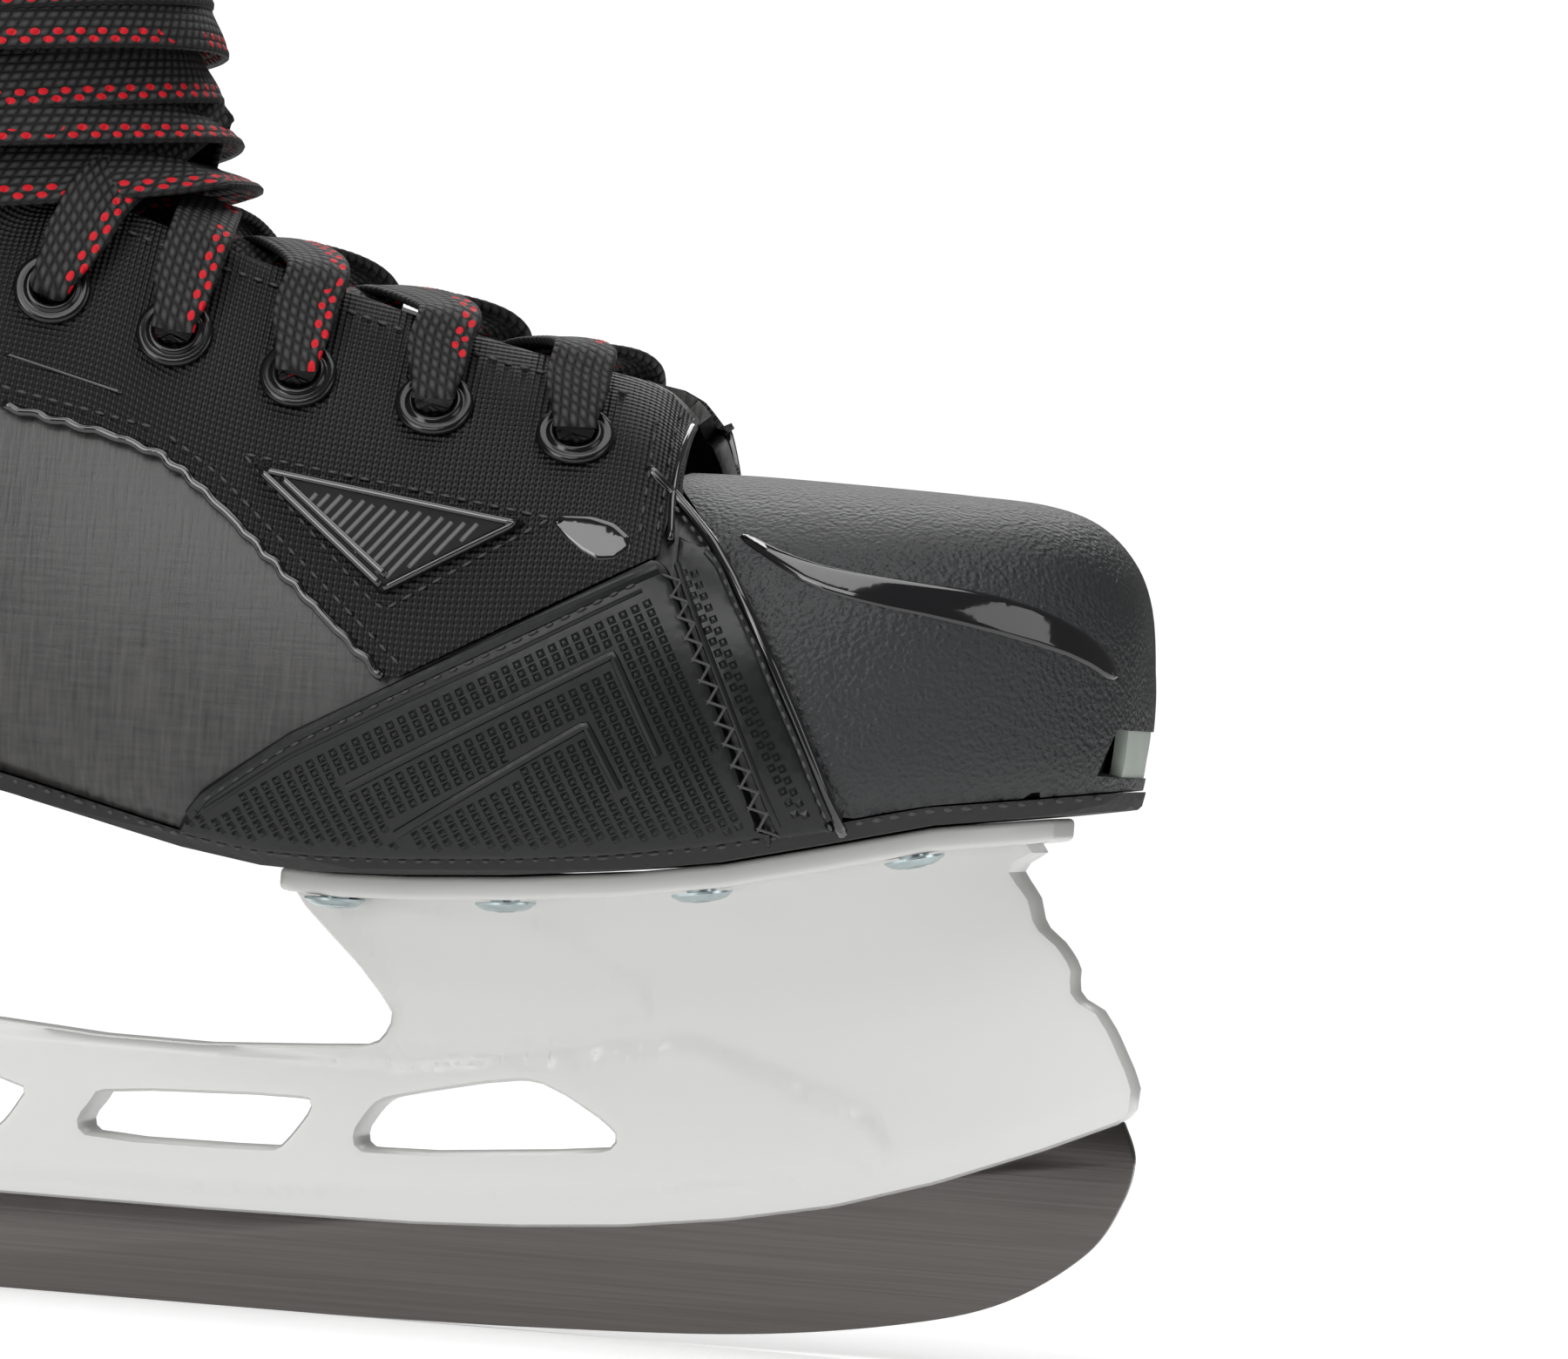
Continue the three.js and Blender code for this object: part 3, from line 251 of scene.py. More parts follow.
boardMaterial = mouldedMaterial("board", (0.08, 0.08, 0.08), (0.12, 0.12, 0.12), 0.8, 300, 0.0001)
guardMaterial = mouldedMaterial("guardPlastic", (0.007, 0.007, 0.008), (0.014, 0.014, 0.015), 0.4, 800, 0.00012)
triggerMaterial = mouldedMaterial("triggerPlastic", (0.01, 0.01, 0.011), (0.02, 0.02, 0.021), 0.4, 600, 0.00005)
bumperMaterial = mouldedMaterial("bumperPlastic", (0.34, 0.38, 0.34), (0.44, 0.48, 0.44), 0.45, 300, 0.00004)
eyeletMaterial = mouldedMaterial("eyeletEnamel", (0.003, 0.003, 0.003), (0.006, 0.006, 0.006), 0.16, 200, 0,
                                 Specular_IOR_Level=0.4)
bedMaterial = mouldedMaterial("footbedFelt", (0.012, 0.012, 0.013), (0.03, 0.03, 0.032), 0.9, 1500, 0.0002,
                              Specular_IOR_Level=0.25)
threadMaterial = mouldedMaterial("thread", (0.02, 0.02, 0.021), (0.06, 0.06, 0.062), 0.6, 900, 0)
hatchMaterial = mouldedMaterial("hatchInk", (0.07, 0.07, 0.07), (0.12, 0.12, 0.12), 0.5, 300, 0)
badgeMaterial = mouldedMaterial("badgeFilm", (0.003, 0.003, 0.003), (0.006, 0.006, 0.006), 0.5, 300, 0,
                                Specular_IOR_Level=0.15)
nylonMaterial = wovenMaterial("nylonWeave", (0.001, 0.001, 0.001), (0.034, 0.034, 0.035), 0.45, 0.0019, 0.0003,
                              Specular_IOR_Level=0.25)
liningMaterial = wovenMaterial("brushedLining", (0.012, 0.012, 0.013), (0.024, 0.024, 0.026), 0.9, 0.0014, 0.0001,
                               Specular_IOR_Level=0.25)
feltMaterial = wovenMaterial("tongueFelt", (0.014, 0.014, 0.015), (0.028, 0.028, 0.030), 0.9, 0.0016, 0.0002,
                             Specular_IOR_Level=0.25)
print("materials made")


# boot surface, each station: rearX, rearZ, frontX, frontZ, outer half, inner half, widest place,
# squareness low and high
toeStations = [
    (146.3, 90, 146.3, 107, 9, 9, 0.5, 2.4, 2.4),
    (145, 84.5, 145, 115.5, 16, 16, 0.46, 2.8, 2.5),
    (142, 82, 142, 121.6, 23, 23, 0.44, 3.2, 2.5),
    (136.5, 80.4, 136.5, 126.4, 30.5, 30, 0.43, 3.6, 2.5),
    (129, 79, 129, 128.6, 37, 35.5, 0.42, 3.8, 2.5),
    (118, 76.6, 118, 129.2, 43.3, 41, 0.42, 4, 2.5),
    (107, 73.8, 107, 129.5, 47.5, 45, 0.42, 4, 2.4),
]
footStations = [
    (96, 70.6, 96, 130, 49.3, 47.2, 0.42, 4, 2.35),
    (87, 68.6, 86.6, 131.2, 49.5, 47.5, 0.42, 4, 2.3),
    (80, 67.4, 79.2, 135.8, 49.5, 47, 0.41, 4, 2.2),
    (74, 66.4, 72.8, 143, 49.2, 46.2, 0.39, 4, 2.1),
    (64, 65.4, 62.4, 147.4, 48.6, 44.6, 0.37, 4, 2.05),
    (46, 63.6, 43, 153, 46.8, 41.4, 0.34, 3.8, 2),
    (24, 63, 20, 160, 44, 38.2, 0.32, 3.6, 2),
    (0, 66.6, 6.4, 165.4, 41.6, 36.6, 0.31, 3.4, 2),
    (-26, 71.6, 0.6, 169, 39.6, 36, 0.32, 3.4, 2.05),
    (-56, 73, -2.4, 172, 38.6, 36.4, 0.34, 3.6, 2.1),
    (-86, 72.8, -4, 174.6, 38, 37, 0.37, 3.5, 2.15),
    (-116, 73.4, -5, 177.2, 38, 37.6, 0.4, 3.2, 2.2),
    (-134, 81, -5.6, 180.2, 38.2, 38.2, 0.42, 2.8, 2.2),
    (-143.4, 96, -6, 183.2, 38.6, 38.8, 0.44, 2.5, 2.25),
    (-145.4, 112, -6.6, 187.4, 39, 39.2, 0.46, 2.45, 2.25),
    (-139.4, 131, -7.4, 192.6, 39.6, 39.6, 0.47, 2.4, 2.3),
    (-131.4, 149, -8.4, 199.4, 40.4, 40.2, 0.47, 2.4, 2.3),
    (-126, 168, -9.4, 207.6, 41.4, 41, 0.47, 2.4, 2.3),
    (-123.6, 189, -10.4, 217, 42.6, 42, 0.47, 2.4, 2.3),
    (-123.6, 211, -11.4, 228, 44, 43.2, 0.46, 2.4, 2.3),
    (-125.4, 234, -12.2, 241, 45.4, 44.4, 0.46, 2.4, 2.3),
    (-128.6, 260, -10.4, 261, 46, 45, 0.46, 2.4, 2.3),
    (-133, 288, -3, 286, 46, 45, 0.46, 2.4, 2.3),
    (-138, 312, 4, 312, 46, 45, 0.46, 2.4, 2.3),
]
capStations = toeStations + [
    (96, 70.6, 96, 129.7, 49.3, 47.2, 0.42, 4, 2.35),
    (86, 68.6, 86, 129.8, 49.5, 47.5, 0.42, 4, 2.3),
    (76, 66.8, 76, 129.6, 49.2, 46.6, 0.42, 4, 2.25),
    (68, 66, 68, 129.2, 48.6, 45.6, 0.42, 4, 2.25),
]
field = {"rowsPerStation": 12, "halfColumns": 200, "toeBlend": 4, "noseRows": 12, "noseBulge": 0.8,
         "settleSteps": 7, "settleLimit": 2.5, "pickSpacing": 3}


def stationAt(stations, u):
    table = np.array(stations, float)
    last = len(table) - 1
    low = np.clip(np.floor(u).astype(int), 0, last - 1)
    t = (u - low)[..., None]
    a, b, c, d = (table[np.clip(low + k, 0, last)] for k in (-1, 0, 1, 2))
    slopeIn, slopeOut = (c - a) / 2, (d - b) / 2
    return ((2 * t**3 - 3 * t**2 + 1) * b + (t**3 - 2 * t**2 + t) * slopeIn
            + (3 * t**2 - 2 * t**3) * c + (t**3 - t**2) * slopeOut)


def surfaceAt(stations, u, turn, offset):
    # turn 0 is the outer flank, a quarter turn the front or top, half a turn the inner flank
    u, turn = np.broadcast_arrays(u, turn)
    row = stationAt(stations, u)
    rear = row[..., 0:2]
    span = row[..., 2:4] - rear
    length = np.linalg.norm(span, axis=-1)
    span = span / length[..., None]
    forward = np.clip(1 - u / field["toeBlend"], 0, None) * offset
    outward = offset - forward
    centre = row[..., 6] * length
    c, s = np.cos(turn), np.sin(turn)
    power = np.where(s >= 0, 2 / row[..., 8], 2 / row[..., 7])
    reach = np.where(s >= 0, length - centre, centre) + outward
    along = centre + np.sign(s) * np.abs(s) ** power * reach
    half = np.where(c > 0, row[..., 4], row[..., 5]) + outward
    return np.stack([rear[..., 0] + span[..., 0] * along + forward,
                     -np.sign(c) * np.abs(c) ** power * half,
                     rear[..., 1] + span[..., 1] * along], -1)


def evenTurns(stations, station, count):
    dense = np.linspace(-math.pi / 2, math.pi / 2, 6001)
    line = surfaceAt(stations, np.full_like(dense, station), dense, 0.0)
    run = np.concatenate([[0], np.cumsum(np.linalg.norm(np.diff(line, axis=0), axis=1))])
    half = np.interp(np.linspace(0, run[-1], count + 1), run, dense)
    half[0], half[-1] = -math.pi / 2, math.pi / 2
    return np.concatenate([half, math.pi - half[-2::-1]])


def makeField(stations):
    # dense sheet over the whole boot: places, offset directions, normals, run lengths
    turns = evenTurns(stations, min(12, len(stations) - 2), field["halfColumns"])
    us = np.linspace(0, len(stations) - 1, (len(stations) - 1) * field["rowsPerStation"] + 1)
    u, turn = np.meshgrid(us, turns, indexing="ij")
    at = surfaceAt(stations, u, turn, 0.0)
    away = surfaceAt(stations, u, turn, 1.0) - at
    hub = at[0].mean(axis=0)
    shrink = np.linspace(0.02, 1, field["noseRows"], endpoint=False)[:, None, None]
    nose = hub + (at[0] - hub) * shrink + np.array([field["noseBulge"], 0, 0]) * (1 - shrink**2)
    at = np.concatenate([nose, at])
    away = np.concatenate([np.broadcast_to(away[0], nose.shape), away])
    alongRows, alongColumns = np.gradient(at, axis=0), np.gradient(at, axis=1)
    normal = np.cross(alongRows, alongColumns)
    normal /= np.linalg.norm(normal, axis=-1, keepdims=True) + 1e-12
    flip = np.sign((normal * away).sum(-1))
    normal *= np.where(flip == 0, 1, flip)[..., None]
    zero = np.zeros((1, at.shape[1]))
    runRows = np.concatenate([zero, np.cumsum(np.linalg.norm(np.diff(at, axis=0), axis=-1), axis=0)])
    step = np.linalg.norm(np.diff(at, axis=1), axis=-1)
    runColumns = np.concatenate([np.zeros((at.shape[0], 1)), np.cumsum(step, axis=1)], axis=1)
    runColumns -= runColumns[:, field["halfColumns"] // 2][:, None]
    made = {"at": at, "away": away, "normal": normal, "run": np.stack([runRows, runColumns], -1),
            "rows": at.shape[0], "columns": at.shape[1], "trees": {}}
    half, apart = field["halfColumns"], field["pickSpacing"]
    for side, columns in zip(sides, ((0, half), (half, made["columns"] - 1))):
        picks = [(r, c) for r in range(field["noseRows"], made["rows"], apart)
                 for c in range(columns[0], columns[1] + 1, apart)]
        tree = KDTree(len(picks))
        for k, (r, c) in enumerate(picks):
            tree.insert((at[r, c, 0], 0, at[r, c, 2]), k)
        tree.balance()
        made["trees"][side] = (tree, picks, columns)
    return made


def look(made, what, rows, columns):
    # value between the sheet's points
    table = made[what]
    r = np.clip(rows, 0, made["rows"] - 1.001)
    c = np.clip(columns, 0, made["columns"] - 1.001)
    r0, c0 = np.floor(r).astype(int), np.floor(c).astype(int)
    fr, fc = (r - r0)[..., None], (c - c0)[..., None]
    return ((table[r0, c0] * (1 - fr) + table[r0 + 1, c0] * fr) * (1 - fc)
            + (table[r0, c0 + 1] * (1 - fr) + table[r0 + 1, c0 + 1] * fr) * fc)


def lifted(made, rows, columns, offset):
    # places on the sheet, moved out by an offset
    return look(made, "at", rows, columns) + offset * look(made, "away", rows, columns)


def settle(made, rows, columns, targets, offset, limits, rail=None):
    # move sheet coordinates until the side view lands on the targets; on the rail only the row moves
    offset = np.asarray(offset, float)[..., None]
    for _ in range(field["settleSteps"]):
        def view(r, c):
            return lifted(made, r, c, offset)[..., [0, 2]]
        here = view(rows, columns)
        e = 0.5
        dr = (view(rows + e, columns) - view(rows - e, columns)) / (2 * e)
        dc = (view(rows, columns + e) - view(rows, columns - e)) / (2 * e)
        miss = targets - here
        det = dr[..., 0] * dc[..., 1] - dr[..., 1] * dc[..., 0]
        det = np.where(np.abs(det) < 0.02, np.where(det < 0, -0.02, 0.02), det)
        stepR = (miss[..., 0] * dc[..., 1] - miss[..., 1] * dc[..., 0]) / det
        stepC = (dr[..., 0] * miss[..., 1] - dr[..., 1] * miss[..., 0]) / det
        if rail is not None:
            stepR = np.where(rail, (miss * dr).sum(-1) / ((dr**2).sum(-1) + 1e-9), stepR)
            stepC = np.where(rail, 0, stepC)
        most = field["settleLimit"]
        rows = np.clip(rows + np.clip(stepR, -most, most), 0, made["rows"] - 1)
        columns = np.clip(columns + np.clip(stepC, -most, most), limits[0], limits[1])
    return rows, columns


def locate(made, points, side, offset=0.0):
    tree, picks, limits = made["trees"][side]
    start = np.array([picks[tree.find((x, 0, z))[1]] for x, z in points], float)
    return settle(made, start[:, 0], start[:, 1], np.array(points, float), offset, limits)


def onBoot(x, z, side, offset=0.0):
    rows, columns = locate(bootField, [(x, z)], side)
    point = lifted(bootField, rows, columns, offset)[0]
    return Vector(point), Vector(look(bootField, "normal", rows, columns)[0]).normalized()


bootField = makeField(toeStations + footStations)
capField = makeField(capStations)
print("boot surface laid out")


# outlines in the side view, x and z

soleUnder = [(146, 84.6), (134, 82.6), (119, 80.3), (104, 76.4), (88.7, 72.6), (73.3, 70.1), (57.8, 68.4), (42, 67.2),
             (30, 66.7), (20, 66.9), (8, 68.7), (-5, 71.8), (-17, 74.6), (-32, 77.6), (-48, 79.4), (-70, 79.8),
             (-143, 79.8), (-152, 79.8)]
outsoleThickness = 2.6
capRear = [(73.6, 142), (74.4, 129), (80, 124.2), (87.3, 116.9), (94.9, 104.7), (102.4, 90.1), (107.6, 78.4)]
facingEdge = [(78.9, 127), (77.7, 137), (74.2, 140.7), (70.8, 142.3), (52.4, 145.5), (36.5, 149.2), (20.4, 153.6),
              (4, 157.8), (-9, 162), (-18, 170), (-21.6, 182), (-23, 205), (-25.4, 226), (-31, 234.4)]
cuffLine = [(-44, 236.6), (-66, 236), (-90, 231.6)]
guardBase = [(-90, 231.6), (-104, 225.4), (-118, 218.4), (-128, 216.4), (-150, 216.4)]


def lineAt(line, x):
    xs, zs = zip(*sorted(line))
    return np.interp(x, xs, zs)


def floorLine(fromX, toX, height=outsoleThickness + 0.3):
    # sole line raised by a height, from one x to another
    xs = np.linspace(fromX, toX, max(2, int(abs(fromX - toX) / 3)))
    return [(x, float(lineAt(soleUnder, x)) + height) for x in xs]


def rounded(line, closed=True, spacing=1.2, soften=1):
    # corner-cut and even out an outline
    points = [Vector(p) for p in line]
    for _ in range(soften):
        cut = []
        pairs = list(zip(points, points[1:] + points[:1])) if closed else list(zip(points, points[1:]))
        for a, b in pairs:
            cut += [a.lerp(b, 0.25), a.lerp(b, 0.75)]
        points = cut if closed else [points[0]] + cut + [points[-1]]
    ring = points + points[:1] if closed else points
    lengths = np.concatenate([[0], np.cumsum([(b - a).length for a, b in zip(ring, ring[1:])])])
    count = max(4, int(round(lengths[-1] / spacing)))
    marks = np.linspace(0, lengths[-1], count + 1)
    marks = marks[:-1] if closed else marks
    xs = np.interp(marks, lengths, [p.x for p in ring])
    zs = np.interp(marks, lengths, [p.y for p in ring])
    return list(zip(xs, zs))


def shifted(line, dx, dz):
    return [(x + dx, z + dz) for x, z in line]


def openLine(line, spacing=1.2):
    return rounded(line, closed=False, spacing=spacing, soften=0)


def insideOf(outline, x, z):
    # true for the places inside a closed outline
    inside = np.zeros(np.shape(x), bool)
    for (x0, z0), (x1, z1) in zip(outline, outline[1:] + outline[:1]):
        if z0 == z1:
            continue
        crosses = (z0 > z) != (z1 > z)
        inside ^= crosses & (x < (x1 - x0) * (z - z0) / (z1 - z0) + x0)
    return inside


def nearestOn(outline, points):
    # the nearest spots on a closed outline, and how far they are
    starts = np.array(outline, float)
    ends = np.roll(starts, -1, axis=0)
    edge = ends - starts
    lengths = (edge**2).sum(-1) + 1e-12
    best, bestFar = np.array(points, float), np.full(len(points), np.inf)
    for a, e, l in zip(starts, edge, lengths):
        t = np.clip(((points - a) * e).sum(-1) / l, 0, 1)
        spot = a + t[:, None] * e
        far = ((points - spot)**2).sum(-1)
        closer = far < bestFar
        best[closer], bestFar[closer] = spot[closer], far[closer]
    return best, np.sqrt(bestFar)


def finished(name, bm, material, angle=None):
    label = name + "_finish" if name in nodes else name   # the CAD solids keep their own names
    mesh = bpy.data.meshes.new(label)
    bm.to_mesh(mesh)
    bm.free()
    piece = bpy.data.objects.new(label, mesh)
    bpy.context.scene.collection.objects.link(piece)
    mesh.materials.append(material)
    for polygon in mesh.polygons:
        polygon.use_smooth = True
    if angle:
        mesh.set_sharp_from_angle(angle=math.radians(angle))
    return piece


def assign(piece, node, body="boot"):
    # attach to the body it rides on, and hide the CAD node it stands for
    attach(piece, body)
    if node:
        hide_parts(node)


def repaint(name, material):
    nodes[name].data.materials.clear()
    nodes[name].data.materials.append(material)


def mergeInto(bm, part):
    mesh = bpy.data.meshes.new("part")
    part.to_mesh(mesh)
    part.free()
    bm.from_mesh(mesh)
    bpy.data.meshes.remove(mesh)


def newVerts(made):
    return [v for v in made["geom"] if isinstance(v, bmesh.types.BMVert)]


def roundEdges(piece, width, segments):
    edge = piece.modifiers.new("edge", "BEVEL")
    edge.width, edge.segments = width * mm, segments
    edge.limit_method, edge.angle_limit = "ANGLE", math.radians(50)


def thicken(piece, thickness, bevel=0.0, segments=2):
    wall = piece.modifiers.new("wall", "SOLIDIFY")
    wall.thickness, wall.offset = thickness * mm, -1
    if bevel:
        roundEdges(piece, bevel, segments)


def wholeOf(faces):
    return list({v for f in faces for v in f.verts}) + list({e for f in faces for e in f.edges}) + faces


def sliceSheet(bm, cuts, drop, fromX):
    # straight cuts through the part in front of fromX, then the dropped side goes
    for place, normal in cuts:
        faces = [f for f in bm.faces if f.calc_center_median().x > fromX * mm]
        bmesh.ops.bisect_plane(bm, geom=wholeOf(faces), plane_co=Vector(place) * mm, plane_no=normal)
    gone = [f for f in bm.faces if f.calc_center_median().x > fromX * mm and drop(*(f.calc_center_median() / mm))]
    bmesh.ops.delete(bm, geom=gone, context="FACES")


def crown(piece, outline, thickness, edgeShare, reach):
    # padding that thins towards its rim, smoothed once
    group = piece.vertex_groups.new(name="fill")
    places = np.array([(v.co.x, v.co.z) for v in piece.data.vertices]) / mm
    _, far = nearestOn(outline, places)
    for index, distance in enumerate(far):
        t = min(1.0, distance / reach)
        group.add([index], edgeShare + (1 - edgeShare) * math.sin(t * math.pi / 2), "REPLACE")
    wall = piece.modifiers.new("padding", "SOLIDIFY")
    wall.thickness, wall.offset = thickness * mm, -1
    wall.vertex_group = "fill"
    finer = piece.modifiers.new("finer", "SUBSURF")
    finer.levels = finer.render_levels = 1


def layRuns(bm, runs):
    # sheet UV in metres from each vertex's run lengths
    uv = bm.loops.layers.uv.new("sheet")
    for face in bm.faces:
        for loop in face.loops:
            loop[uv].uv = runs[loop.vert.index]


cut = {"drawn": 7, "jump": 9, "holeReach": 4, "holeClear": 0.5, "outlineNear": 5, "weld": 1e-5}


def cutSheet(made, outline, offset=0.0, side=None, step=3, holes=(), keep=None, frontLimit=400):
    # the part of the boot's sheet inside a side-view outline, its edge drawn out to the outline
    offsetAt = offset if callable(offset) else (lambda rows: offset)
    half = field["halfColumns"]
    span = {None: (0, made["columns"] - 1), "lateral": (0, half), "medial": (half, made["columns"] - 1)}[side]
    rows = np.arange(0, made["rows"], step)
    columns = np.unique(np.append(np.arange(span[0], span[1], step), span[1]))
    r, c = np.meshgrid(rows, columns, indexing="ij")
    rowOffset = offsetAt(r)
    at = made["at"][r, c] + np.asarray(rowOffset)[..., None] * made["away"][r, c]
    inside = insideOf(outline, at[..., 0], at[..., 2])
    if keep is not None:
        inside &= keep(at)
    for (x, y, z), radius in holes:
        inside &= ((at - np.array([x, y, z]))**2).sum(-1) > radius**2
    picked = np.argwhere(inside)
    r0, c0 = np.maximum(picked.min(axis=0) - 1, 0)
    r1, c1 = np.minimum(picked.max(axis=0) + 1, np.array(inside.shape) - 1)
    r, c, at, inside = (table[r0:r1 + 1, c0:c1 + 1] for table in (r, c, at, inside))
    bm = bmesh.new()
    bmesh.ops.create_grid(bm, x_segments=at.shape[1] - 1, y_segments=at.shape[0] - 1, size=1)
    bm.verts.ensure_lookup_table()
    rowLayer = bm.verts.layers.float.new("row")
    columnLayer = bm.verts.layers.float.new("column")
    flat, flatInside = at.reshape(-1, 3), inside.reshape(-1)
    for vert, place, row, column in zip(bm.verts, flat, r.reshape(-1), c.reshape(-1)):
        vert.co = place * mm
        vert[rowLayer], vert[columnLayer] = row, column
    gone = [face for face in bm.faces if not all(flatInside[v.index] for v in face.verts)]
    bmesh.ops.delete(bm, geom=gone, context="FACES")
    centreColumns = {0, half, made["columns"] - 1}
    rim = []
    for v in bm.verts:
        if not v.is_boundary or v.co.x > frontLimit * mm:
            continue
        onSeam = round(v[columnLayer]) in ((0, made["columns"] - 1) if side is None else centreColumns)
        if not onSeam or len(v.link_faces) == 1:   # a seam vertex counts only at the end of its column
            rim.append(v)
    if rim:
        places = np.array([(v.co.x, v.co.z) for v in rim]) / mm
        spots, far = nearestOn(outline, places)
        for vert, distance in zip(rim, far):
            if distance > cut["outlineNear"]:
                for (x, y, z), radius in holes:
                    spoke = vert.co / mm - Vector((x, y, z))
                    if spoke.length < radius + cut["holeReach"]:
                        vert.co = (Vector((x, y, z)) + spoke.normalized() * radius) * mm
        near = far < cut["drawn"]
        near &= np.array([all((v.co / mm - Vector(place)).length > radius + cut["holeClear"]
                              for place, radius in holes) for v in rim])
        rim = [v for v, ok in zip(rim, near) if ok]
        rr = np.array([v[rowLayer] for v in rim])
        cc = np.array([v[columnLayer] for v in rim])
        rail = np.isin(np.round(cc), list(centreColumns))
        newR, newC = settle(made, rr, cc, spots[near], offsetAt(rr), span, rail=rail)
        for v, row, column in zip(rim, newR, newC):
            point = lifted(made, row, column, float(np.mean(offsetAt(row))))
            if (Vector(point * mm) - v.co).length < cut["jump"] * mm:
                v.co = point * mm
                v[rowLayer], v[columnLayer] = row, column
    bm.verts.index_update()
    runs = [look(made, "run", np.float64(v[rowLayer]), np.float64(v[columnLayer])) * mm for v in bm.verts]
    layRuns(bm, runs)
    bmesh.ops.remove_doubles(bm, verts=bm.verts, dist=cut["weld"])
    bmesh.ops.recalc_face_normals(bm, faces=bm.faces)
    test = max(bm.faces, key=lambda f: abs(f.calc_center_median().y))
    away = look(made, "away", np.float64(test.verts[0][rowLayer]), np.float64(test.verts[0][columnLayer]))
    if test.normal.dot(Vector(away)) < 0:
        bmesh.ops.reverse_faces(bm, faces=bm.faces)
    return bm


def filledOutline(loops, rings, cell):
    # a side-view region as a mesh in the y = 0 plane: inset rings round its rim, a grid inside
    bm = bmesh.new()
    level = bm.verts.layers.float.new("level")
    rims = []
    for line in loops:
        ring = [bm.verts.new((x, 0, z)) for x, z in line]
        rims += [bm.edges.new((a, b)) for a, b in zip(ring, ring[1:] + ring[:1])]
    filled = bmesh.ops.triangle_fill(bm, use_beauty=True, use_dissolve=False, edges=rims)
    core = [f for f in filled["geom"] if isinstance(f, bmesh.types.BMFace)]
    for inset, share in rings:
        bmesh.ops.inset_region(bm, faces=core, thickness=inset, use_even_offset=False, use_boundary=True)
        for face in core:
            for vert in face.verts:
                vert[level] = share
    geom = wholeOf(core)
    for axis in (0, 2):
        low, high = (pick(p[axis // 2] for p in loops[0]) for pick in (min, max))
        normal = [0, 0, 0]
        normal[axis] = 1
        for mark in np.arange(low + cell * 0.6, high - cell * 0.3, cell):
            place = [0, 0, 0]
            place[axis] = mark
            geom = bmesh.ops.bisect_plane(bm, geom=geom, plane_co=place, plane_no=normal)["geom"]
    bmesh.ops.triangulate(bm, faces=[f for f in bm.faces if len(f.verts) > 4])
    return bm, level


raised = {"rings": ((0.15, 0.6), (0.3, 0.9), (0.5, 1.0)), "sink": 0.35}


def patchSheet(made, outline, side, lift, height, cell=1.7):
    # a raised pad with rounded edges, laid on the boot inside a side-view outline
    bm, level = filledOutline([outline], raised["rings"], cell)
    views = [(v.co.x, v.co.z) for v in bm.verts]
    rows, columns = locate(made, views, side, lift)
    shares = np.array([v[level] for v in bm.verts])
    offsets = lift - raised["sink"] + (height + raised["sink"]) * shares
    at = lifted(made, rows, columns, offsets[:, None])
    runs = look(made, "run", rows, columns) * mm
    for vert, place in zip(bm.verts, at):
        vert.co = place * mm
    bm.verts.index_update()
    layRuns(bm, runs)
    bm.normal_update()
    test = max(bm.faces, key=lambda f: f.calc_area())
    if test.normal.y * (-1 if side == "lateral" else 1) < 0:
        bmesh.ops.reverse_faces(bm, faces=bm.faces)
    return bm


def closeTube(part, closed=False, apart=1e-7):
    # a rolled grid welded along its seam, its ends capped
    bmesh.ops.remove_doubles(part, verts=part.verts, dist=apart)
    if not closed:
        bmesh.ops.holes_fill(part, edges=[e for e in part.edges if e.is_boundary], sides=0)
    bmesh.ops.recalc_face_normals(part, faces=part.faces)


def sweep(bm, centres, acrosses, ups, profile):
    # carry a closed profile (across, up) along centres, metres
    n, rows = len(profile), len(centres)
    part = bmesh.new()
    bmesh.ops.create_grid(part, x_segments=n, y_segments=rows - 1, size=1)
    part.verts.ensure_lookup_table()
    for i in range(rows):
        for j in range(n + 1):
            a, b = profile[j % n]
            part.verts[i * (n + 1) + j].co = centres[i] + acrosses[i] * a + ups[i] * b
    closeTube(part)
    mergeInto(bm, part)


def onSheet(line, side, lift):
    # lifted places and normals along a side-view line
    rows, columns = locate(bootField, line, side, lift)
    return lifted(bootField, rows, columns, lift), look(bootField, "normal", rows, columns)


def bead(bm, line, side, lift, width, height, sides=8):
    # a half-buried bead along a side-view line
    at, normals = onSheet(line, side, lift)
    ups = [Vector(n).normalized() for n in normals]
    centres = [Vector(p) * mm for p in at]
    acrosses = []
    for k in range(len(centres)):
        along = centres[min(k + 1, len(centres) - 1)] - centres[max(k - 1, 0)]
        acrosses.append(along.cross(ups[k]).normalized())
    angles = [2 * math.pi * j / sides for j in range(sides)]
    profile = [(width / 2 * mm * math.cos(angle), height * mm * math.sin(angle)) for angle in angles]
    sweep(bm, centres, acrosses, ups, profile)


def stitchRow(bm, line, side, lift, pitch, length, thick, jitter=0.1):
    # short rounded stitches along a side-view line
    at, ups = onSheet(openLine(line, pitch), side, lift)
    for k in range(len(at) - 1):
        middle = Vector((at[k] + at[k + 1]) / 2)
        along = Vector(at[k + 1] - at[k]).normalized()
        up = Vector(ups[k]).normalized()
        across = along.cross(up).normalized()
        size = 1 + dice.uniform(-jitter, jitter)
        turn = Matrix((along * length * size / 2, across * thick / 2, up * thick / 2)).transposed().to_4x4()
        place = Matrix.Translation((middle + up * thick * 0.2) * mm) @ Matrix.Scale(mm, 4) @ turn
        bmesh.ops.create_uvsphere(bm, u_segments=6, v_segments=4, radius=1, matrix=place)


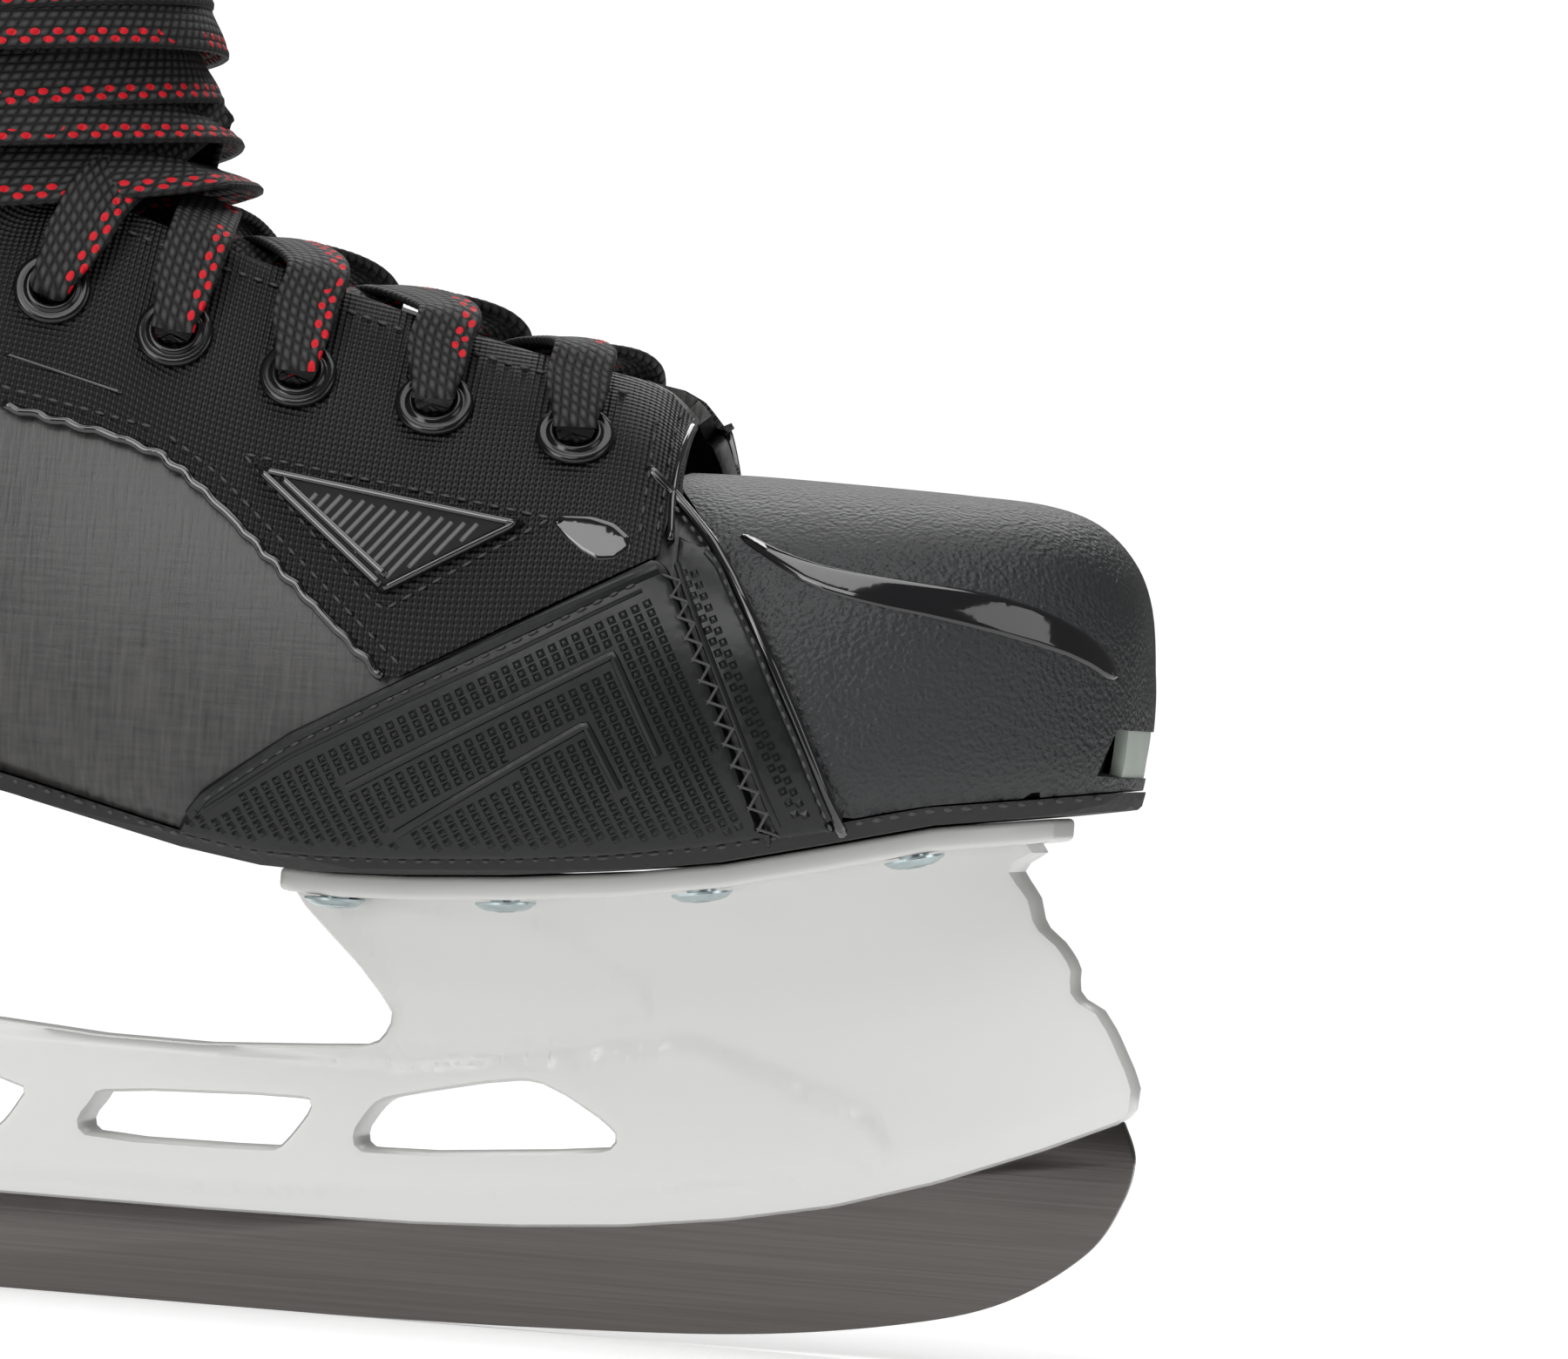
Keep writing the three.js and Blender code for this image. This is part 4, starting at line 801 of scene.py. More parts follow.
eyeletPlaces = [(62.8, 132), (41.5, 135.2), (20.8, 138.3), (1.6, 143.3), (-17.3, 148.7), (-34.4, 160.6),
                (-42.4, 180), (-45, 201), (-47, 222)]
eyeletSeats = {side: [onBoot(x, z, side) for x, z in eyeletPlaces] for side in sides}
eyeletHoleRadius = 3.6
eyeletHoles = {side: [(tuple(point), eyeletHoleRadius) for point, normal in seats]
               for side, seats in eyeletSeats.items()}
quarter = {"wall": 2.4, "edge": 0.5}
counterSheet = {"lift": 1.5, "wall": 1.2, "edge": 0.5}


def makeQuarterMaterial():
    # satin composite with fine upright streaks and a cloudy sheen
    material, tree, shader = startMaterial("quarterComposite", 0.4)
    place = objectPlace(tree)
    long = put(tree, "Mapping", {"Vector": place, "Scale": (1400, 300, 120)})
    streaks = put(tree, "TexNoise", {"Vector": long.outputs[0], "Scale": 1.0, "Detail": 5.0})
    cross = put(tree, "Mapping", {"Vector": place, "Scale": (150, 300, 1300)})
    threads = put(tree, "TexNoise", {"Vector": cross.outputs[0], "Scale": 1.0, "Detail": 4.0})
    cloth = plus(tree, times(tree, streaks.outputs[0], 0.65), times(tree, threads.outputs[0], 0.35))
    clouds = put(tree, "TexNoise", {"Vector": place, "Scale": 22.0, "Detail": 3.0})
    share = plus(tree, times(tree, cloth, 0.9), times(tree, clouds.outputs[0], 0.2))
    ramp = put(tree, "ValToRGB", {0: share})
    stops = ((0.35, (0.008, 0.008, 0.008, 1)), (0.8, (0.060, 0.057, 0.055, 1)))
    for mark, (position, color) in zip(ramp.color_ramp.elements, stops):
        mark.position, mark.color = position, color
    tree.links.new(ramp.outputs[0], shader.inputs["Base Color"])
    rough = plus(tree, times(tree, cloth, 0.3), 0.24)
    tree.links.new(rough, shader.inputs["Roughness"])
    bumped(tree, shader, cloth, 0.7, 0.00018)
    return material


quarterMaterial = makeQuarterMaterial()
quarterOutline = (facingEdge + cuffLine + guardBase[1:] + [(-152, 200)] + floorLine(-152, 107.3)
                  + [(x - 0.3, z) for x, z in capRear[-2:1:-1]])


def keepThroat(at):
    # everything but the open throat behind the toe cap
    return ~((np.abs(at[..., 1]) < 18) & (at[..., 0] > 50) & (at[..., 2] > 126))


for side in sides:
    bm = cutSheet(bootField, quarterOutline, 0.0, side, step=2, holes=eyeletHoles[side], keep=keepThroat)
    piece = finished("quarter_" + side, bm, quarterMaterial)
    thicken(piece, quarter["wall"], quarter["edge"])
    assign(piece, "quarter_" + side)

counterOutline = [(-66, 82), (-70, 86), (-76, 104), (-92, 128), (-108, 146), (-124, 160), (-150, 168), (-156, 168)]
counterOutline += floorLine(-156, -66)
bm = cutSheet(bootField, rounded(counterOutline, soften=1), counterSheet["lift"], None, step=2)
counter = finished("heel_counter", bm, guardMaterial)
thicken(counter, counterSheet["wall"], counterSheet["edge"])
assign(counter, "heel_counter")

stay = {"lift": 1.5, "wall": 1.2, "edge": 0.45}
stayLow = [(-67, 236), (-65, 200), (-62, 172), (-55, 150), (-40, 136.4), (-22, 131.4), (0.2, 127.2), (9.3, 121.4),
           (25.1, 107.9), (39.8, 95.2), (77.8, 116.5)]
stayOutline = facingEdge + [(-44, 236.6)] + stayLow
for side in sides:
    bm = cutSheet(bootField, stayOutline, stay["lift"], side, step=1, holes=eyeletHoles[side], keep=keepThroat)
    piece = finished("eyestay_" + side, bm, nylonMaterial)
    thicken(piece, stay["wall"], stay["edge"])
    assign(piece, "eyestay_" + side)
print("quarters and eyestays cut")


panelOutline = ([(97.4, float(lineAt(soleUnder, 97.4)) + 2.9), (97.4, 75.6), (87.9, 97.9), (79.5, 114.6),
                 (77.4, 115.8), (40.2, 95), (25.6, 86.9), (12.4, 77.2), (8.6, 71.5)] + floorLine(8.6, 97)[0:-1])
bandOutline = [(80.2, 119), (85, 117.6), (86.4, 116.4), (94, 104.2), (101.5, 89.8), (106.6, 79.2), (98.4, 77.4),
               (89, 97.7), (80.4, 115)]
badgeOutline = [(16.4, 125.4), (58, 119.8), (37.9, 107.8)]
panel = {"lift": 0.6, "height": 1.5, "top": 2.1, "alongPitch": 1.9, "acrossPitch": 1.45, "stud": 0.95, "bump": 0.5,
         "chevrons": ([(35, 79.4), (73.0, 101.6), (80.8, 87.6)], [(42.5, 73.2), (69.8, 91.2), (75.4, 82.2)]),
         "groove": [(13.4, 74.6), (25.7, 83.2), (40.6, 91.4), (58.8, 101.2), (76.3, 111.2)],
         "seam": [(79.6, 113.6), (85.6, 101.6), (92.4, 87.0), (96.4, 77.4)]}
badge = {"lift": 2.0, "height": 0.9, "hatchPitch": 1.9, "hatchWidth": 0.85, "hatchGap": 1.6,
         "frame": ([(17.8, 124.6), (37.7, 109.2)], [(21.0, 123.8), (38.4, 110.6)],
                   [(18.4, 124.7), (56.6, 119.6), (38.2, 108.8)])}


def layStuds(bm, side, spots, along, lift, size, height):
    # small four-sided bumps, seated on the sheet
    ahead = [(x + along[0] * 0.5, z + along[1] * 0.5) for x, z in spots]
    at, ups = onSheet(spots + ahead, side, lift)
    for k in range(len(spots)):
        up = Vector(ups[k]).normalized()
        onward = Vector(at[k + len(spots)] - at[k])
        onward = (onward - up * onward.dot(up)).normalized()
        turn = Matrix((onward, up.cross(onward), up)).transposed().to_4x4() @ Matrix.Rotation(math.pi / 4, 4, "Z")
        place = Matrix.Translation((Vector(at[k]) + up * height * 0.4) * mm) @ Matrix.Scale(mm, 4) @ turn
        bmesh.ops.create_cone(bm, cap_ends=True, segments=4, radius1=size * 0.95, radius2=size * 0.3, depth=height,
                              matrix=place)


def studSpots():
    # places of the panel's bumps: inside its border, clear of the groove, the seam and the chevrons
    down, back, corner = Vector((0.499, -0.867)), Vector((-0.873, -0.488)), Vector((76.6, 110.6))
    spots = np.array([corner + back * (i * panel["alongPitch"]) + down * (j * panel["acrossPitch"])
                      for i in range(48) for j in range(30)])
    keep = insideOf(panelOutline, spots[:, 0], spots[:, 1]) & (nearestOn(panelOutline, spots)[1] > 1.0)
    keep &= spots[:, 1] < np.interp(spots[:, 0], *zip(*panel["groove"]))
    for line, gap in ((panel["groove"], 1.3), (panel["seam"], 2.2), *((c, 1.5) for c in panel["chevrons"])):
        keep &= nearestOn(line + line[::-1], spots)[1] > gap
    return [tuple(p) for p in spots[keep]], back


panelSpots, panelBack = studSpots()
for side in sides:
    bm = patchSheet(bootField, rounded(panelOutline, soften=0), side, panel["lift"], panel["height"])
    layStuds(bm, side, panelSpots, panelBack, panel["top"], panel["stud"], panel["bump"])
    for line in panel["chevrons"]:
        bead(bm, openLine(line, 0.8), side, panel["top"] - 0.1, 1.5, 0.62)
    bead(bm, openLine(panel["groove"]), side, panel["top"] - 0.1, 0.8, 0.4)
    edgeLine = [(10.4, 74.6), (12.4, 77.2), (25.6, 86.9), (40.2, 95), (77.4, 115.2)]
    bead(bm, shifted(openLine(edgeLine), 0.7, -0.9), side, panel["top"] - 0.3, 1.9, 0.75)
    piece = finished("forefoot_panel_" + side, bm, panelMaterial, angle=28)
    assign(piece, "forefoot_panel_" + side)
    bm = patchSheet(bootField, rounded(bandOutline, soften=0), side, 0.6, 1.6)
    bandSpots = [(82.4 + 19.0 * k / 21 + shift, 114.2 - 33.6 * k / 21)
                 for shift in (-0.4, 1.1) for k in range(22)]
    layStuds(bm, side, bandSpots, (0.49, -0.87), 2.2, 0.9, 0.5)
    for line in ([(84.6, 117.4), (86.6, 115.6), (94, 103.6), (101.3, 89.6), (105.7, 80.2)],
                 [(80.8, 115.4), (89.4, 97.9), (98.6, 78.6)]):
        bead(bm, openLine(line), side, 2.0, 1.1, 0.6)
    piece = finished("toe_band_" + side, bm, panelMaterial, angle=28)
    assign(piece, "toe_band_" + side)
    rim = rounded(badgeOutline, soften=0, spacing=1.0)
    bm = patchSheet(bootField, rim, side, badge["lift"], badge["height"], cell=1.5)
    piece = finished("badge_" + side, bm, badgeMaterial)
    assign(piece, "badge_" + side)
    bm = bmesh.new()
    for line in badge["frame"]:
        bead(bm, openLine(line, 0.9), side, 2.8, 1.2, 0.55)
    piece = finished("badge_frame_" + side, bm, glossMaterial)
    assign(piece, "badge_" + side)
    hatch = bmesh.new()
    for k in range(26):
        foot = Vector((14 + k * badge["hatchPitch"], 106))
        line = [tuple(foot + Vector((0.62, 0.78)) * t) for t in np.arange(0, 26, 0.7)]
        marks = np.array(line)
        inside = insideOf(badgeOutline, marks[:, 0], marks[:, 1]) & (marks[:, 0] > 22)
        inside &= nearestOn(badgeOutline, marks)[1] > badge["hatchGap"]
        kept = [p for p, ok in zip(line, inside) if ok]
        if len(kept) > 2:
            bead(hatch, kept, side, 2.86, badge["hatchWidth"], 0.16, sides=6)
    piece = finished("badge_hatch_" + side, hatch, hatchMaterial)
    assign(piece, "badge_" + side)
print("panels laid")


# toe cap, its gloss strip and the pale bumper in its notch
trimOutline = [(88.2, 119.8), (88.6, 121.2), (95.9, 118.3), (103.7, 116.6), (113.8, 115.7), (125, 114.9),
               (133.7, 112.8), (140.4, 109.4), (143.6, 105.4), (143.4, 102.6), (138.8, 105.8), (130.5, 108.1),
               (119.3, 110.2), (109.3, 111.5), (100.4, 113.4), (94.2, 116.7)]
notch = {"low": 89.2, "high": 96.2, "rear": Vector((141.6, 0, 89.2)), "recessDepth": 4.6, "recessWall": 1.2,
         "recessMargin": 2.2, "recessBack": 137, "bumperHalf": 14.7, "bumperLow": 87.9, "bumperMargin": 0.6,
         "bumperBack": 140, "bumperWall": 2.0}
notchLean = Vector((7, 0, -2.2)).normalized()
soleStart = Vector((134, 0, 82.6 + outsoleThickness + 0.3))
soleLean = Vector((-2, 0, 12)).normalized()
upward, onward, sideways = (0, 0, 1), (1, 0, 0), (0, 1, 0)


def inNotch(x, y, z):
    # below the sole line, or in the opening at the front
    place = Vector((x, 0, z))
    opening = notch["low"] < z < notch["high"] and (place - notch["rear"]).dot(notchLean) > 0
    return (place - soleStart).dot(soleLean) < 0 or opening


def toeSheet(offset, drop, cuts):
    bm = cutSheet(capField, [(128, 78), (160, 78), (160, 142), (128, 142)], offset, None, step=2, frontLimit=0)
    sliceSheet(bm, cuts, drop, 0)
    return bm


capOutline = [(x + 0.3, z) for x, z in capRear] + floorLine(107, 134) + [(158, 78), (160, 142)]
bm = cutSheet(capField, capOutline, 0.0, None, step=2, frontLimit=132)
notchCuts = [((0, 0, notch["low"]), upward), ((0, 0, notch["high"]), upward), (notch["rear"], notchLean)]
sliceSheet(bm, [(soleStart, soleLean)] + notchCuts, inNotch, 130)
cap = finished("toe_cap", bm, capMaterial)
thicken(cap, 3.0, 0.6, segments=3)
assign(cap, "toe_cap")
low, high, back = notch["low"] - notch["recessMargin"], notch["high"] + notch["recessMargin"], notch["recessBack"]
edges = [((0, 0, low), upward), ((0, 0, high), upward), ((back, 0, 0), onward)]
bm = toeSheet(-notch["recessDepth"], lambda x, y, z: not (low < z < high and x > back), edges)
recess = finished("toe_recess", bm, soleMaterial)
thicken(recess, notch["recessWall"])
assign(recess, "toe_cap")
low, high, back = notch["bumperLow"], notch["high"] + notch["bumperMargin"], notch["bumperBack"]
half = notch["bumperHalf"]
edges = [((0, 0, low), upward), ((0, 0, high), upward), ((0, half, 0), sideways), ((0, -half, 0), sideways),
         ((back, 0, 0), onward)]
bm = toeSheet(-0.4, lambda x, y, z: not (low < z < high and abs(y) < half and x > back), edges)
bumper = finished("toe_bumper", bm, bumperMaterial, angle=40)
thicken(bumper, notch["bumperWall"], 0.4)
assign(bumper, "toe_bumper")
trimParts = bmesh.new()
for side in sides:
    bm = patchSheet(capField, rounded(trimOutline, soften=1, spacing=1.0), side, 0.1, 0.35, cell=1.5)
    mergeInto(trimParts, bm)
trim = finished("toe_trim", trimParts, glossMaterial)
assign(trim, "toe_trim")
print("toe cap made")


stitch = {"pitch": 2.5, "length": 1.8, "thick": 0.55}
seamEdge = [(-40, 136.4), (-22, 131.4), (0.2, 127.2), (9.3, 121.4), (25.1, 107.9), (39.0, 95.9)]


for side in sides:
    bm = bmesh.new()
    stitchRow(bm, shifted(seamEdge[:3], 0.6, 2.6), side, 1.6, **stitch)
    stitchRow(bm, shifted(seamEdge[2:], 2.6, 1.8), side, 1.6, **stitch)
    stitchRow(bm, [(14.6, 126.9), (38, 105.4), (61.6, 120.7), (14.6, 126.9)], side, 1.6, **stitch)
    for line in ([(76, 138.6), (77.0, 127), (77.2, 119.6)], [(73.6, 137.6), (74.6, 127), (74.8, 118.9)],
                 [(x - 1.6, z - 2.4) for x, z in facingEdge[3:9]]):
        stitchRow(bm, line, side, 1.6, **stitch)
    stitchRow(bm, shifted(panel["groove"], -0.6, 1.1), side, 2.2, pitch=2.6, length=1.6, thick=0.5)
    zig = []
    for k in range(26):
        share, sign = k / 25, 1 if k % 2 else -1
        zig.append((80.2 + 17.3 * share + 0.9 * sign, 114.0 - 37.0 * share + 0.4 * sign))
    for a, b in zip(zig, zig[1:]):
        stitchRow(bm, [a, b], side, 2.1, pitch=2.0, length=2.0, thick=0.5)
    stitchRow(bm, [(x - 1.3, z - 0.2) for x, z in capRear[2:]], side, 2.3, pitch=1.9, length=1.4, thick=0.6)
    piece = finished("stitching_" + side, bm, threadMaterial)
    assign(piece, None)
    bm = bmesh.new()
    wavy = rounded(seamEdge[1:], closed=False, spacing=0.7, soften=1)
    wavy = [(x + 0.22 * math.sin(k * 1.1), z + 0.22 * math.cos(k * 0.9)) for k, (x, z) in enumerate(wavy)]
    bead(bm, wavy, side, 1.5, 1.5, 0.75)
    bead(bm, rounded([(x - 0.2, z) for x, z in capRear[1:]], closed=False, soften=1), side, 1.2, 1.8, 1.0)
    bead(bm, rounded([(77.6, 136.8), (77.9, 127), (79.2, 118.6)], closed=False), side, 1.3, 1.2, 0.9)
    bead(bm, openLine([(-22.6, 139.1), (-4.7, 134.6)], 0.8), side, 1.6, 0.5, 0.25, sides=6)
    piece = finished("piping_" + side, bm, glossMaterial)
    assign(piece, None)
    gloss = patchSheet(bootField, rounded([(60.4, 121.4), (69.8, 121.8), (75, 118), (70.4, 114.4), (65.2, 116.8)],
                                          spacing=0.9), side, 1.55, 0.12, cell=1.4)
    piece = finished("gloss_spot_" + side, gloss, glossMaterial)
    assign(piece, None)
bm = bmesh.new()
for side in sides:
    rim = [(x, float(lineAt(soleUnder, x)) + 2.2) for x in np.arange(143, -142, -2.4)]
    stitchRow(bm, rim, side, 0.9, pitch=2.5, length=1.5, thick=0.7, jitter=0.4)
piece = finished("sole_stitching", bm, threadMaterial)
assign(piece, None)
print("stitching laid")


# pieces that keep their CAD shape
for name, material in (("outsole", soleMaterial), ("insole_board", boardMaterial),
                       ("release_trigger", triggerMaterial)):
    repaint(name, material)

footbed = {"round": 1.3, "segments": 3, "fill": 0.5}
bm = bmesh.new()
bm.from_mesh(nodes["footbed"].data)
bmesh.ops.remove_doubles(bm, verts=bm.verts[:], dist=1e-6)
bed = finished("footbed", bm, bedMaterial, angle=50)
roundEdges(bed, footbed["round"], footbed["segments"])
assign(bed, "footbed")

linerOutline = ([(-58, 158), (-66, 180), (-68, 206), (-70, 238.6), (-87, 235.4), (-89.4, 231)] + guardBase[1:]
                + [(-152, 200)] + floorLine(-152, 105.5, 5.4) + [(x - 1.8, z) for x, z in capRear[-2:1:-1]]
                + [(70, 122), (40, 122), (4, 128), (-24, 134), (-44, 144)])
bm = cutSheet(bootField, linerOutline, -2.7, None, step=2)
liner = finished("liner", bm, liningMaterial)
crown(liner, linerOutline, 4.0, 0.45, 7)
assign(liner, "liner")

guardOutline = ([(x, z + 0.1) for x, z in guardBase] + [(-152, 275), (-120, 270), (-108, 262), (-98, 248)])
bm = cutSheet(bootField, rounded(guardOutline, soften=1), 0.0, None, step=2)
guard = finished("tendon_guard", bm, guardMaterial)
crown(guard, guardOutline, 4.5, 0.5, 6)
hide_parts("tendon_guard")
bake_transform(guard)

tongue = {"depth": 7.2, "shaftDepth": 3.0, "padding": 7.0, "low": 18, "high": 22}


def tongueDrop(rows):
    u = (np.asarray(rows, float) - field["noseRows"]) / field["rowsPerStation"]
    t = np.clip((u - tongue["low"]) / (tongue["high"] - tongue["low"]), 0, 1)
    return -tongue["depth"] + (tongue["depth"] - tongue["shaftDepth"]) * t * t * (3 - 2 * t)


tongueOutline = [(72.6, 148), (71, 132), (50, 133), (24, 139), (0, 146), (-20, 156), (-34, 172), (-42, 196),
                 (-44, 224), (-44, 250), (-38, 280), (-20, 283), (20, 283), (20, 160)]
bm = cutSheet(bootField, tongueOutline, tongueDrop, None, step=2)
pad = finished("tongue", bm, feltMaterial)
crown(pad, tongueOutline, tongue["padding"], 0.35, 11)
assign(pad, "tongue")
print("soft parts made")


eyelet = {"sides": 32, "profile": [(2.9, -2.9), (2.9, 2.3), (3.05, 2.75), (3.5, 2.95), (3.95, 2.8), (4.15, 2.5),
                                   (4.45, 2.45), (4.9, 2.6), (5.4, 2.5), (5.75, 2.15), (5.75, 1.7)]}


def turned(profile, sides, point, normal):
    # a lathed part with its axis along a normal
    bm = bmesh.new()
    verts = [bm.verts.new((r * mm, 0, z * mm)) for r, z in profile]
    edges = [bm.edges.new(pair) for pair in zip(verts, verts[1:])]
    bmesh.ops.spin(bm, geom=verts + edges, cent=(0, 0, 0), axis=(0, 0, 1), angle=2 * math.pi, steps=sides,
                   use_merge=True, use_duplicate=False)
    bmesh.ops.remove_doubles(bm, verts=bm.verts, dist=1e-6)
    bmesh.ops.recalc_face_normals(bm, faces=bm.faces)
    lean = Vector((0, 0, 1)).rotation_difference(normal).to_matrix().to_4x4()
    bmesh.ops.transform(bm, matrix=Matrix.Translation(point * mm) @ lean, verts=bm.verts)
    return bm


for side, seats in eyeletSeats.items():
    for index, (point, normal) in enumerate(seats):
        name = "eyelet_%s_%d" % (side, index + 1)
        ring = finished(name, turned(eyelet["profile"], eyelet["sides"], point, normal), eyeletMaterial, angle=60)
        assign(ring, name)


lace = {"width": 9.5, "thickness": 1.5, "lift": 3.4, "step": 0.6, "columnPitch": 1.36, "rodPitch": 1.9,
        "relief": 0.16, "tuck": 5.6, "crossings": (11.7, 12.7, 13.7, 15.0), "overEdge": (60, 39.5, 19.5, 2, -12),
        "crossDepth": -4.6, "throughBoot": 7.3, "strapsEachSide": 5}
tracer = {"lanes": ((0.0023, 0.0), (0.0035, 0.45)), "pitch": 0.0036, "halfLength": 0.0008, "halfWidth": 0.00052}


def makeLaceMaterial():
    # black basket braid in lengthwise columns, with paired red tracer dots along one edge; the strand crests are
    # painted lighter as a highlight and the gaps between them stay near-black as painted shade
    material, tree, shader = startMaterial("laceBraid", 0.6, Specular_IOR_Level=0.3)
    sheet = sheetPlace(tree)
    parts = put(tree, "SeparateXYZ", {0: sheet})
    along, across = parts.outputs[0], parts.outputs[1]
    dots = []
    for lane, phase in tracer["lanes"]:
        cycle = maths(tree, "FRACT", plus(tree, maths(tree, "DIVIDE", along, tracer["pitch"]), phase))
        lengthwise = times(tree, maths(tree, "SUBTRACT", cycle, 0.5), tracer["pitch"] / tracer["halfLength"])
        sideways = maths(tree, "DIVIDE", maths(tree, "SUBTRACT", across, lane), tracer["halfWidth"])
        reach = plus(tree, maths(tree, "POWER", maths(tree, "ABSOLUTE", lengthwise), 2.0),
                      maths(tree, "POWER", maths(tree, "ABSOLUTE", sideways), 2.0))
        dots.append(maths(tree, "LESS_THAN", reach, 1.0))
    stretch = put(tree, "TexNoise", {"Vector": sheet, "Scale": 24.0})
    some = maths(tree, "GREATER_THAN", stretch.outputs[0], 0.46)
    red = times(tree, maths(tree, "MAXIMUM", dots[0], dots[1]), some)
    column = maths(tree, "DIVIDE", plus(tree, across, 0.02), lace["columnPitch"] * mm)
    inColumn = maths(tree, "SUBTRACT", maths(tree, "FRACT", column), 0.5)
    odd = times(tree, maths(tree, "MODULO", maths(tree, "FLOOR", column), 2.0), 0.5)
    beat = plus(tree, maths(tree, "DIVIDE", along, lace["rodPitch"] * mm), odd)
    slanted = plus(tree, beat, times(tree, inColumn, 0.45))
    rod = maths(tree, "ABSOLUTE", maths(tree, "SINE", times(tree, slanted, math.pi)))
    strand = maths(tree, "COSINE", times(tree, inColumn, math.pi))
    crest = maths(tree, "POWER", maths(tree, "ABSOLUTE", strand), 0.8)
    top = times(tree, maths(tree, "POWER", rod, 0.8), crest)
    # painted highlight and painted shade: the braid colour runs from near-black in the gaps to lighter on the strand
    # crests
    share = maths(tree, "POWER", top, 2.0, clamp=True)
    black = blendColors(tree, share, (0.001, 0.001, 0.001, 1), (0.050, 0.048, 0.048, 1))
    color = blendColors(tree, red, black, (0.56, 0.003, 0.012, 1))
    tree.links.new(color, shader.inputs["Base Color"])
    fuzz = put(tree, "TexNoise", {"Vector": objectPlace(tree), "Scale": 4200.0, "Detail": 2.0})
    bumped(tree, shader, plus(tree, top, times(tree, fuzz.outputs[0], 0.5)), 0.8, 0.0003)
    return material


laceMaterial = makeLaceMaterial()


def smoothPath(points, step):
    # even samples along a rounded path through stops: place, out, width, thickness (mm)
    stops = [(Vector(a), Vector(b), w, t) for a, b, w, t in points]
    dense = []
    for i in range(len(stops) - 1):
        p0, p1, p2, p3 = (stops[max(0, min(len(stops) - 1, i + k))] for k in (-1, 0, 1, 2))
        for k in range(24):
            t = k / 24
            place = 0.5 * ((2 * p1[0]) + (p2[0] - p0[0]) * t + (2 * p0[0] - 5 * p1[0] + 4 * p2[0] - p3[0]) * t * t
                           + (3 * p1[0] - p0[0] - 3 * p2[0] + p3[0]) * t**3)
            ease = t * t * (3 - 2 * t)
            width, thick = (p1[m] + (p2[m] - p1[m]) * ease for m in (2, 3))
            dense.append((place, p1[1].lerp(p2[1], ease), width, thick))
    dense.append(stops[-1])
    lengths = np.concatenate([[0], np.cumsum([(b[0] - a[0]).length for a, b in zip(dense, dense[1:])])])
    marks = np.linspace(0, lengths[-1], max(4, int(lengths[-1] / step)))
    table = np.array([(*a, *b, w, t) for a, b, w, t in dense])
    return np.stack([np.interp(marks, lengths, table[:, k]) for k in range(8)], -1), marks


def layLace(bm, path, marks, start=0.0, closed=False):
    # flat braid: rounded edges, raised crossing strands on its faces, UV in metres
    top, bottom = 13, 5
    n = top + bottom
    rows = len(path)
    part = bmesh.new()
    bmesh.ops.create_grid(part, x_segments=n, y_segments=rows - 1, size=1)
    part.verts.ensure_lookup_table()
    uvs = []
    places = path[:, 0:3]
    for i in range(rows):
        before = places[(i - 1) % (rows - 1)] if closed else places[max(i - 1, 0)]
        after = places[(i + 1) % (rows - 1)] if closed else places[min(i + 1, rows - 1)]
        along = Vector(after - before).normalized()
        up = Vector(path[i, 3:6]).normalized()
        across = along.cross(up).normalized()
        up = across.cross(along).normalized()
        width, thick = path[i, 6] / 2, path[i, 7] / 2
        for j in range(n + 1):
            angle = math.pi * j / top if j <= top else math.pi + math.pi * (j - top) / bottom
            c, s = math.cos(angle), math.sin(angle)
            a = math.copysign(abs(c) ** 0.7, c) * width
            b = math.copysign(abs(s) ** 0.5, s) * thick
            s0 = marks[i] + start
            column = (a + 20) / lace["columnPitch"]
            beat = s0 / lace["rodPitch"] + 0.5 * (math.floor(column) % 2)
            ribs = math.cos((column % 1 - 0.5) * math.pi) * (0.4 + 0.6 * abs(math.sin(beat * math.pi)))
            b += math.copysign(1, s if abs(s) > 0.05 else 1) * lace["relief"] * ribs * min(1, abs(s) * 2.5)
            part.verts[i * (n + 1) + j].co = (Vector(places[i]) + across * a + up * b) * mm
            uvs.append((s0 * mm, a * mm))
    uv = part.loops.layers.uv.new("sheet")
    for face in part.faces:
        for loop in face.loops:
            loop[uv].uv = uvs[loop.vert.index]
    closeTube(part, closed, 1e-6)
    mergeInto(bm, part)


def overRidge(u, offset):
    # a point over the middle of the throat
    row = np.float64(u * field["rowsPerStation"] + field["noseRows"])
    column = np.float64(field["halfColumns"])
    at = lifted(bootField, row, column, offset)
    return Vector(at), Vector(look(bootField, "away", row, column)).normalized()


facingTop = facingEdge[3:10]
flat = (lace["width"], lace["thickness"])
bunch = (4.6, 3.4)
tuck = (5.7, 2.0)


def stop(seat, height, size):
    point, normal = seat
    return (tuple(point + normal * height), tuple(normal), *size)


